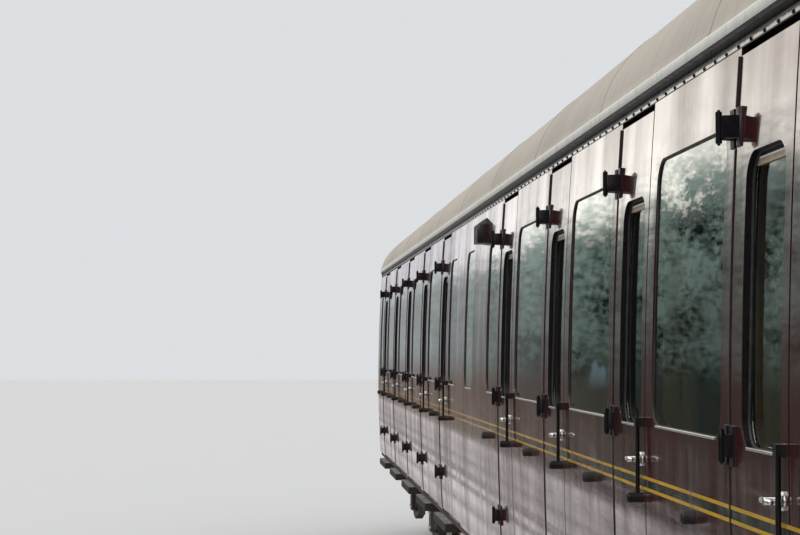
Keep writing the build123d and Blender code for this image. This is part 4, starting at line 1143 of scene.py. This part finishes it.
def frost_lavatory():
    """A frosted film behind the narrow panes, which are the lavatories'."""
    clearance, film_outs = 0.001, (-0.0180, -0.0165)
    bm = bmesh.new()
    for side, low, high in window_boxes():
        if high.x - low.x < LAVATORY_PANE:
            xs = (low.x + clearance, high.x - clearance)
            zs = (low.z + clearance, high.z - clearance)
            curved_bar(bm, side, xs, film_outs, zs, 12)
    mesh = mesh_of("lavatory_film", bm, outward=True)
    new_piece("lavatory_film", mesh, ("frosted",), COACH)


def dress_side():
    """Enamels the panels, finishes the hinges and door stops, and glazes the fixed windows."""
    enamel, veneered, dark = range(3)

    def sort(place, normal):
        if abs(place.y) > side_y(place.z) + PROUD:
            return dark
        return veneered if faces_in(place, normal) else enamel

    for node in ("side_panels_left", "side_panels_right"):
        skin_copy(node, COACH, ("body", "veneer", "hinge"), sort)
    skin_copy("window_glass", COACH, ("glass",), width=0)
    axes = [PIVOTS[body] for body in DOORS]
    knuckles_end, cap_reach = 0.0485, 0.009

    def is_pin_cap(place, normal):
        beyond = min(abs(place.z - z) for z in HINGE_HEIGHTS) > knuckles_end
        near = min(math.hypot(place.x - axis.x, place.y - axis.y) for axis in axes) < cap_reach
        return int(beyond and near)

    dressed_copy("hinge_brackets", COACH, ("hinge", "iron"), is_pin_cap)
    dressed_copy("door_stops", COACH, ("rubber",))


# Roof

def roof_outline():
    """The roof's outer profile in (y, z), left gutter to right gutter, read from the CAD's end section."""
    crown_from, eaves_from, above_gutter = 3.5, 1.30, 0.004
    verts = frame["nodes"]["roof"].data.vertices
    end = [
        Vector((v.co.y, v.co.z)) for v in verts
        if v.co.x > ROOF_HIGH.x - 1e-4 and v.co.z > GUTTER_TOP + above_gutter
    ]
    hull = [end[index] for index in convex_hull_2d(end)]
    outer = [point for point in hull if point.y > crown_from or abs(point.x) > eaves_from]
    return sorted(set((round(p.x, 5), round(p.y, 5)) for p in outer), reverse=True)


def roof_straps():
    """Narrow cover straps across the roof where its sheets meet."""
    settings = bpy.context.scene.coach_fittings
    outline = [Vector((0, y, z)) for y, z in roof_outline()]
    inside = Vector((0, 0, 2.6))
    half, sunk, proud = settings.strap_width / 2, -0.002, 0.0022
    section = ((-half, sunk), (-half, proud), (half, proud), (half, sunk))
    bm = bmesh.new()
    for joint in range(1, settings.roof_sheets):
        x = ROOF_LOW.x + (ROOF_HIGH.x - ROOF_LOW.x) * joint / settings.roof_sheets
        rings = []
        for index, point in enumerate(outline):
            before, after = outline[max(index - 1, 0)], outline[min(index + 1, len(outline) - 1)]
            along = (after - before).normalized()
            outward = Vector((0, along.z, -along.y))
            if outward.dot(point - inside) < 0:
                outward = -outward
            rings.append([
                bm.verts.new(point + outward * out + Vector((x + shift, 0, 0))) for shift, out in section
            ])
        add_tube(bm, rings)
    mesh = mesh_of("roof_straps", bm, outward=True)
    smooth(mesh)
    new_piece("roof_straps", mesh, ("roof",), COACH)


def dress_roof():
    """Roof paint outside, cream paint inside, black as painted shade on the faces that look down outside the
    side, clips along the cantrail and straps over the sheets.
    """
    pitch = bpy.context.scene.coach_fittings.clip_pitch
    over_wall, end_gap = 0.045, 0.05
    painted, cream, dark = range(3)

    def sort(place, normal):
        # Faces that look down outside the side's line get black ironwork paint: painted shade under the
        # gutter and cantrail.
        if normal.z < -0.9 and abs(place.y) > side_y(place.z) - over_wall:
            return dark
        inward = Vector((0, place.y, place.z - 2.2)).dot(normal) < 0 and abs(normal.x) < 0.5
        return cream if inward and place.z > GUTTER_TOP - 0.1 else painted

    dressed_copy("roof", COACH, ("roof", "cream", "iron"), sort)
    count = int((ROOF_HIGH.x - ROOF_LOW.x - 2 * end_gap) / pitch)
    start = -(count - 1) * pitch / 2
    z = CANTRAIL_Z + 0.011
    row = grow("clips", "iron", Count=count, Pitch=pitch, Length=0.012, Depth=0.007, Height=0.012)
    parts = [
        (row, lambda p, side=side: p + Vector((start, side * side_y(z, 0.001), z)))
        for side in (1, -1)
    ]
    mesh = join_meshes("cantrail_clips", parts)
    obj = new_piece("cantrail_clips", mesh, ("iron",), COACH)
    add_bevel(obj, 0.003, 1)
    roof_straps()


# Inside

def pillow(length, width, thick, crown):
    """A closed crowned block: round edges, a bulged face and sides drawn in between the corners."""
    cuts, drawn_in, rounded, thinned = 11, 0.035, 0.06, 0.10
    bm = bmesh.new()
    bmesh.ops.create_cube(bm, size=2)
    bmesh.ops.subdivide_edges(bm, edges=bm.edges, cuts=cuts, use_grid_fill=True)
    for vert in bm.verts:
        x, y, z = vert.co
        lift = crown * (1 - x**4) * (1 - y**4) if z > 0 else 0
        shoulder = 1 - rounded * z**4
        vert.co = (
            x * (1 - drawn_in * (1 - y * y) * abs(x) ** 6) * shoulder * length / 2,
            y * (1 - drawn_in * (1 - x * x) * abs(y) ** 6) * shoulder * width / 2,
            z * thick / 2 * (1 - thinned * (x**8 + y**8)) + lift,
        )
    return mesh_of("pillow", bm)


def plump(mesh, cap):
    """Fills a cushion's cover by a short cloth simulation with air pressure, its underside held."""
    obj = bpy.data.objects.new("plump", mesh)
    bpy.context.scene.collection.objects.link(obj)
    held_up_to = min(vert.co.z for vert in mesh.vertices) + 0.012
    held = obj.vertex_groups.new(name="held")
    held.add([v.index for v in mesh.vertices if v.co.z < held_up_to], 1.0, "REPLACE")
    cover = obj.modifiers.new("cover", "CLOTH").settings
    cover.use_pressure = True
    cover.uniform_pressure_force = 4
    cover.tension_stiffness = 25
    cover.vertex_group_mass = "held"
    cover.effector_weights.gravity = 0
    cover.quality = 6
    scene = bpy.context.scene
    steps = 20
    for step in range(1, steps + 1):
        scene.frame_set(step)
    evaluated = obj.evaluated_get(bpy.context.evaluated_depsgraph_get())
    filled = bpy.data.meshes.new_from_object(evaluated)
    for before, after in zip(mesh.vertices, filled.vertices):
        moved = after.co - before.co
        if moved.length > cap:
            after.co = before.co + moved.normalized() * cap
    scene.frame_set(1)
    bpy.data.objects.remove(obj)
    return filled


def faces_front(low, high):
    """1 for a bench whose back is behind it, at its rear end, and -1 for one that faces the rear."""
    verts = frame["nodes"]["seats"].data.vertices
    near = 1e-3
    top = [
        v.co.x for v in verts
        if v.co.z > high.z - near
        and low.x - near < v.co.x < high.x + near
        and low.y - near < v.co.y < high.y + near
    ]
    return 1 if sum(top) / len(top) < (low.x + high.x) / 2 else -1


def seat_cushions():
    """Crowned cushions and raked backs, with a sewn welt, on a plinth, for every place of every bench."""
    place_width = bpy.context.scene.coach_fittings.seat_place
    cushion_width = place_width - 0.012
    base = plump(pillow(0.52, cushion_width, 0.15, 0.022), 0.012)
    back = plump(pillow(0.70, cushion_width, 0.10, 0.020), 0.010)
    welt = grow(
        "seal", "moquette", Width=0.50, Height=place_width - 0.03, Corner=0.03, Bead=0.005,
        Steps=3, Sides=6,
    )
    # Each part's mesh, its middle in front of the back's foot and above the floor, and its rake
    layers = (
        (base, 0.335, 0.362, -math.radians(4)),
        (welt, 0.335, 0.428, -math.radians(4)),
        (back, 0.103, 0.80, math.radians(82)),
    )
    plinth_from, plinth_to, plinth_height, board = 0.09, 0.52, 0.285, 0.03
    cushions, plinths = [], bmesh.new()
    for low, high in loose_boxes("seats"):
        facing = faces_front(low, high)
        root = low.x if facing > 0 else high.x
        width = high.y - low.y
        count = max(1, round(width / place_width))
        widen = Matrix.Diagonal((1, width / count / place_width, 1, 1))
        for number in range(count):
            y = low.y + (number + 0.5) * width / count
            for mesh, ahead, rise, rake in layers:
                middle = Matrix.Translation((root + facing * ahead, y, FLOOR_TOP + rise))
                matrix = middle @ Matrix.Rotation(facing * rake, 4, "Y") @ widen
                cushions.append((mesh, lambda p, matrix=matrix: matrix @ p))
        near, far = sorted((root + facing * plinth_from, root + facing * plinth_to))
        top = FLOOR_TOP + plinth_height
        add_box(plinths, (near, low.y + 0.004, FLOOR_TOP), (far, high.y - 0.004, top))
        near, far = sorted((root, root + facing * board))
        add_box(plinths, (near, low.y + 0.002, FLOOR_TOP), (far, high.y - 0.002, high.z))
    mesh = join_meshes("seat_cushions", cushions)
    smooth(mesh, 60)
    obj = new_piece("seat_cushions", mesh, ("moquette",), COACH)
    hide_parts("seats")
    boards = new_piece(
        "seat_plinths", mesh_of("seat_plinths", plinths), ("veneer",), COACH
    )
    add_bevel(boards, 0.004)


def dress_inside():
    """Floor, partitions and racks keep their CAD shapes in their own finishes."""
    paint_node("floor", "floor")
    paint_node("partitions", "veneer")
    dressed_copy("luggage_racks", COACH, ("steel",))


# Underframe and running gear

def dress_underframe():
    """Eases the ironwork's edges, and adds rivets on the solebars and screws in the steps."""
    pitch = bpy.context.scene.coach_fittings.rivet_pitch
    dressed_copy("underframe", COACH, ("frame",), bevel=0.003)
    dressed_copy("underfloor_equipment", COACH, ("frame",))
    board_edge, solebar_face, solebar_flanges = 1.179, 0.9975, (0.875 + RAIL, 1.065 + RAIL)
    screw_rows, from_end, from_middle = (1.22, 1.40), 0.06, 0.17

    def is_bracket(place, normal):
        return int(abs(place.y) < board_edge)

    dressed_copy("footsteps", COACH, ("steps", "iron"), is_bracket, 0.006)
    count = int((BODY_HIGH.x - BODY_LOW.x - 0.4) / pitch)
    rivets = [
        (Vector(((number - (count - 1) / 2) * pitch, side * solebar_face, z)), Vector((0, side, 0)))
        for number in range(count) for side in (1, -1) for z in solebar_flanges
    ]
    studs("solebar_rivets", rivets, "frame", COACH, 0.012, 0.008, 8)
    upward = Vector((0, 0, 1))
    screws = []
    for low, high in loose_boxes("footsteps"):
        middle = (low.x + high.x) / 2
        for x in (low.x + from_end, middle - from_middle, middle + from_middle, high.x - from_end):
            for y in screw_rows:
                screws.append((Vector((x, side_at(low) * y, high.z + 0.0008)), upward))
    studs("step_screws", screws, "steel", COACH, 0.009, 0.0022, 10)


def dress_running_gear():
    """Bogie frames and axleboxes in dusty black, bolts on the axlebox covers, and polished treads."""
    bolt_offset, axle_z, tread_radius = 0.075, 0.457 + RAIL, 0.449
    for bogie in BOGIES:
        dressed_copy(bogie + "_frame", bogie, ("bogie",), bevel=0.003)
        dressed_copy(bogie + "_axleboxes", bogie, ("bogie",))
        bolts = []
        for low, high in loose_boxes(bogie + "_axleboxes"):
            side = side_at(low)
            middle, face = (low.x + high.x) / 2, max(abs(low.y), abs(high.y)) + 0.004
            for across in (-bolt_offset, bolt_offset):
                for rise in (-bolt_offset, bolt_offset):
                    place = Vector((middle + across, side * face, axle_z + rise))
                    bolts.append((place, Vector((0, side, 0))))
        studs(bogie + "_bolts", bolts, "steel", bogie, 0.014, 0.010, 6)
    for body in WHEELSETS:
        axle = PIVOTS[body]

        def is_tread(place, normal):
            return int(math.hypot(place.x - axle.x, place.z - axle.z) > tread_radius)

        dressed_copy(body, body, ("wheel", "tread"), is_tread)


def dress_ends():
    """End walls, buffers, drawgear and gangways, with the rubbing faces in bare steel."""
    dressed_copy("end_walls", COACH, ("end",), bevel=0.004)
    for node, kinds, slot, depth, bevel in (
        ("gangways", ("bellows", "steel"), "bellows_rubber", 0.0405, 0.004),
        ("buffers_and_drawgear", ("iron", "steel"), "frame_black", 0.028, 0),
    ):
        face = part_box(node)[1].x - depth
        dressed_copy(node, COACH, kinds, lambda place, normal: int(abs(place.x) > face), bevel)


# Studio

def build_floor():
    """A plain pale floor that gloss and glass don't see."""
    settings = bpy.context.scene.coach_stage
    material, s = new_material("studio floor")
    s.surface(Base_Color=(*settings.floor_colour, 1), Roughness=0.85)
    bm = bmesh.new()
    bmesh.ops.create_grid(bm, x_segments=1, y_segments=1, size=120)
    floor = bpy.data.objects.new("studio_floor", mesh_of("studio_floor", bm))
    floor.data.materials.append(material)
    bpy.context.scene.collection.objects.link(floor)
    floor.visible_glossy = False
    floor.visible_transmission = False


def build_sky():
    """A plain pale sky; gloss and glass see clouds over a bank of trees, and paving with a dark bed below."""
    settings = bpy.context.scene.coach_stage
    world = bpy.data.worlds.new("soft sky")
    bpy.context.scene.world = world
    world.use_nodes = True
    sky = Shade(world.node_tree)
    direction = sky.node("ShaderNodeTexCoord").outputs["Generated"]
    y, z = sky.axes(direction)[1:]
    path = sky.node("ShaderNodeLightPath").outputs
    mirrored = sky.math("MAXIMUM", path["Is Glossy Ray"], path["Is Transmission Ray"])
    # Height over distance aside, so that what lies in rows beside the coach stays level all along it
    across = sky.math("ABSOLUTE", y)
    slope = sky.math("DIVIDE", z, sky.math("MAXIMUM", across, 0.03))
    leftward = sky.ramp(y, 0.09, 0.2)

    boughs = sky.noise(direction, 46.0, 6, 0.62, stretch=(1, 1, 0.7))
    twigs = sky.noise(direction, 300.0, 4, 0.65, stretch=(1, 1, 0.8))
    branches = sky.ramp(sky.math("MULTIPLY_ADD", twigs, 1.1, boughs), 0.88, 1.22)
    depth = sky.ramp(slope, -0.15, 0.6, 0.09, 0.66)
    trees = sky.mix(
        sky.math("MULTIPLY", branches, depth), (0.010, 0.018, 0.016, 1), (0.72, 0.95, 0.86, 1)
    )
    gaps = sky.ramp(sky.noise(direction, 1.0, 2, 0.5, stretch=(1, 64, 11)), 0.64, 0.66, 0.0, 0.8)
    trees = sky.mix(gaps, trees, (0.32, 0.46, 0.53, 1))
    low = sky.mix(sky.ramp(across, 0.05, 0.17), (0.50, 0.52, 0.54, 1), trees)
    treetops = sky.math("MULTIPLY_ADD", branches, -0.14, sky.math("ADD", slope, 0.07))
    open_sky = sky.ramp(treetops, settings.bank_slope * 0.75, settings.bank_slope)

    cloud = sky.noise(direction, 2.6, 5, 0.6, stretch=(1, 1, 3.5))
    lit = sky.ramp(cloud, 0.3, 0.7, 0.72, 1.28)
    high = sky.mix(1.0, (1.05, 1.07, 1.10, 1), lit, "MULTIPLY")
    bright = sky.mix(leftward, (0.74, 0.70, 0.73, 1), (2.7, 2.52, 2.24, 1))
    bright = sky.mix(sky.ramp(z, 0.11, 0.2, 0.0, 0.6), bright, (1.0, 0.91, 0.8, 1))
    high = sky.mix(mirrored, high, sky.mix(1.0, high, bright, "MULTIPLY"))
    surroundings = sky.mix(open_sky, low, high)

    bed = sky.mix(leftward, (0.24, 0.19, 0.165, 1), (0.042, 0.050, 0.044, 1))
    courses = sky.ramp(sky.noise(slope, 13.0, 3), 0.38, 0.62, 0.2, 1.3)
    paving = sky.mix(1.0, (0.86, 0.80, 0.80, 1), courses, "MULTIPLY")
    ground = sky.mix(sky.ramp(slope, -0.47, -0.52), bed, paving)
    below = sky.math("MULTIPLY", mirrored, sky.ramp(z, -0.02, 0.0, 1.0, 0.0))
    surroundings = sky.mix(below, surroundings, ground)

    background = sky.node("ShaderNodeBackground")
    plain = (0.80, 0.82, 0.85, 1)
    sky.put(sky.mix(path["Is Camera Ray"], surroundings, plain), background.inputs["Color"])
    sky.put(settings.sky_strength, background.inputs["Strength"])
    output = sky.node("ShaderNodeOutputWorld")
    sky.put(background.outputs[0], output.inputs["Surface"])


def build_sun():
    """A weak, soft sun above the left side."""
    sun = bpy.data.lights.new("soft sun", "SUN")
    sun.energy = bpy.context.scene.coach_stage.sun_strength
    sun.angle = math.radians(12)
    lamp = bpy.data.objects.new("soft sun", sun)
    lamp.rotation_euler = Vector((-0.35, 0.55, 0.75)).to_track_quat("Z", "Y").to_euler()
    bpy.context.scene.collection.objects.link(lamp)


def build_camera():
    """The camera at the photo's angle, and colours shown as they are."""
    settings = bpy.context.scene.coach_stage
    lens = bpy.data.cameras.new("photo view")
    lens.lens = settings.lens
    lens.sensor_width = 36
    lens.clip_end = 400
    camera = bpy.data.objects.new("photo view", lens)
    yaw, pitch = math.radians(settings.camera_yaw), math.radians(settings.camera_pitch)
    level = math.cos(pitch)
    aim = Vector((level * math.cos(yaw), -level * math.sin(yaw), math.sin(pitch)))
    camera.location = settings.camera_place
    camera.rotation_euler = aim.to_track_quat("-Z", "Y").to_euler()
    scene = bpy.context.scene
    scene.collection.objects.link(camera)
    scene.camera = camera
    scene.view_settings.view_transform = "Standard"


# Settings

class CoachPaintSettings(bpy.types.PropertyGroup):
    """Colours and lining of the coach."""

    paint_colour: FloatVectorProperty(
        name="Coach paint", description="Colour of the side panels and doors", subtype="COLOR",
        size=3, min=0, max=1, default=(0.044, 0.0082, 0.0090),
    )
    roof_colour: FloatVectorProperty(
        name="Roof paint", description="Colour of the clean roof", subtype="COLOR",
        size=3, min=0, max=1, default=(0.39, 0.35, 0.30),
    )
    lining_colour: FloatVectorProperty(
        name="Lining", description="Colour of the two thin lines", subtype="COLOR",
        size=3, min=0, max=1, default=(0.66, 0.37, 0.012),
    )
    seat_colour: FloatVectorProperty(
        name="Moquette", description="Ground colour of the seat cloth", subtype="COLOR",
        size=3, min=0, max=1, default=(0.02, 0.05, 0.11),
    )
    lining_height: FloatProperty(
        name="Lining height", description="Middle of the lining above the rail",
        default=1.794, unit="LENGTH",
    )
    lining_width: FloatProperty(
        name="Line width", description="Width of one thin line", default=0.012, unit="LENGTH",
    )
    dust: FloatProperty(
        name="Dust", description="Amount of road dust on the paint", default=0.22, min=0, max=1,
    )


class CoachFittingSettings(bpy.types.PropertyGroup):
    """Sizes of the small fittings that are made in Blender."""

    gasket_bead: FloatProperty(
        name="Gasket", description="Radius of the rubber round a fixed window", default=0.005, unit="LENGTH",
    )
    door_bead: FloatProperty(
        name="Door rubber", description="Radius of the rubber round a drop light",
        default=0.006, unit="LENGTH",
    )
    clip_pitch: FloatProperty(
        name="Clip pitch", description="Distance between two cantrail clips", default=0.145, unit="LENGTH",
    )
    rivet_pitch: FloatProperty(
        name="Rivet pitch", description="Distance between two solebar rivets", default=0.30, unit="LENGTH",
    )
    strap_width: FloatProperty(
        name="Strap width", description="Width of the cover straps on the roof", default=0.040, unit="LENGTH",
    )
    roof_sheets: IntProperty(
        name="Roof sheets", description="Number of sheets along the roof", default=10, min=1,
    )
    seat_place: FloatProperty(
        name="Seat place", description="Width of one seated passenger's place", default=0.45, unit="LENGTH",
    )


class CoachStageSettings(bpy.types.PropertyGroup):
    """The studio and the camera."""

    floor_colour: FloatVectorProperty(
        name="Floor", description="Colour of the studio floor", subtype="COLOR",
        size=3, min=0, max=1, default=(0.55, 0.55, 0.54),
    )
    sky_strength: FloatProperty(
        name="Sky", description="Strength of the overcast sky", default=0.9, min=0,
    )
    bank_slope: FloatProperty(
        name="Tree line", description="Height over distance of the trees that gloss and glass see",
        default=0.62,
    )
    sun_strength: FloatProperty(
        name="Sun", description="Strength of the weak sun", default=1.4, min=0,
    )
    camera_place: FloatVectorProperty(
        name="Camera", description="Place of the camera", subtype="TRANSLATION", unit="LENGTH",
        size=3, default=(-13.4085, 2.7883, 2.3199),
    )
    camera_yaw: FloatProperty(
        name="Yaw", description="Turn to the right of straight forward, in degrees", default=4.102,
    )
    camera_pitch: FloatProperty(
        name="Pitch", description="Tilt up from level, in degrees", default=2.59,
    )
    lens: FloatProperty(
        name="Lens", description="Focal length on a 36 mm sensor, in millimetres", default=80.445, min=10,
    )


# Operators

class COACH_OT_materials(bpy.types.Operator):
    """Make every finish and every node tree"""

    bl_idname = "coach.materials"
    bl_label = "Materials"

    def execute(self, context):
        build_materials()
        TREES.update(seal=seal_tree(), studs=stud_tree(), clips=clip_tree())
        return {"FINISHED"}


class COACH_OT_doors(bpy.types.Operator):
    """Dress the eighteen doors and their drop lights"""

    bl_idname = "coach.doors"
    bl_label = "Doors"

    def execute(self, context):
        for body in DOORS:
            dress_door(body)
            dress_door_glass(body)
            trim_door(body)
        return {"FINISHED"}


class COACH_OT_sides(bpy.types.Operator):
    """Paint the sides and glaze the fixed windows"""

    bl_idname = "coach.sides"
    bl_label = "Sides and windows"

    def execute(self, context):
        dress_side()
        seal_windows()
        sill_strips()
        door_surrounds()
        frost_lavatory()
        return {"FINISHED"}


class COACH_OT_roof(bpy.types.Operator):
    """Paint the roof and fit its clips and straps"""

    bl_idname = "coach.roof"
    bl_label = "Roof"

    def execute(self, context):
        dress_roof()
        return {"FINISHED"}


class COACH_OT_inside(bpy.types.Operator):
    """Upholster the seats and finish the inside"""

    bl_idname = "coach.inside"
    bl_label = "Inside"

    def execute(self, context):
        dress_inside()
        seat_cushions()
        return {"FINISHED"}


class COACH_OT_underframe(bpy.types.Operator):
    """Finish the underframe and the footsteps"""

    bl_idname = "coach.underframe"
    bl_label = "Underframe"

    def execute(self, context):
        dress_underframe()
        return {"FINISHED"}


class COACH_OT_running_gear(bpy.types.Operator):
    """Finish the bogies and wheelsets"""

    bl_idname = "coach.running_gear"
    bl_label = "Running gear"

    def execute(self, context):
        dress_running_gear()
        return {"FINISHED"}


class COACH_OT_ends(bpy.types.Operator):
    """Finish the end walls, gangways, buffers and drawgear"""

    bl_idname = "coach.ends"
    bl_label = "Ends"

    def execute(self, context):
        dress_ends()
        return {"FINISHED"}


class COACH_OT_stage(bpy.types.Operator):
    """Set up the studio floor, the light and the camera"""

    bl_idname = "coach.stage"
    bl_label = "Stage"

    def execute(self, context):
        build_floor()
        build_sky()
        build_sun()
        build_camera()
        return {"FINISHED"}


OPERATORS = (
    COACH_OT_materials,
    COACH_OT_doors,
    COACH_OT_sides,
    COACH_OT_roof,
    COACH_OT_inside,
    COACH_OT_underframe,
    COACH_OT_running_gear,
    COACH_OT_ends,
    COACH_OT_stage,
)


class COACH_PT_panel(bpy.types.Panel):
    """Lists the steps, and the settings that they read"""

    bl_idname = "COACH_PT_panel"
    bl_label = "Slam-door coach"
    bl_space_type = "VIEW_3D"
    bl_region_type = "UI"
    bl_category = "Coach"

    def draw(self, context):
        for operator in OPERATORS:
            self.layout.operator(operator.bl_idname)
        for attribute, group in SETTINGS.items():
            box = self.layout.box()
            for name in group.__annotations__:
                box.prop(getattr(context.scene, attribute), name)


SETTINGS = {
    "coach": CoachPaintSettings,
    "coach_fittings": CoachFittingSettings,
    "coach_stage": CoachStageSettings,
}


def register():
    for name, group in SETTINGS.items():
        bpy.utils.register_class(group)
        setattr(bpy.types.Scene, name, PointerProperty(type=group))
    for operator in OPERATORS:
        bpy.utils.register_class(operator)
    bpy.utils.register_class(COACH_PT_panel)


def unregister():
    bpy.utils.unregister_class(COACH_PT_panel)
    for operator in reversed(OPERATORS):
        bpy.utils.unregister_class(operator)
    for name, group in SETTINGS.items():
        delattr(bpy.types.Scene, name)
        bpy.utils.unregister_class(group)


def main():
    """Runs every step in order."""
    register()
    bpy.ops.coach.materials()
    bpy.ops.coach.doors()
    bpy.ops.coach.sides()
    bpy.ops.coach.roof()
    bpy.ops.coach.inside()
    bpy.ops.coach.underframe()
    bpy.ops.coach.running_gear()
    bpy.ops.coach.ends()
    bpy.ops.coach.stage()


if __name__ == "__main__":
    main()
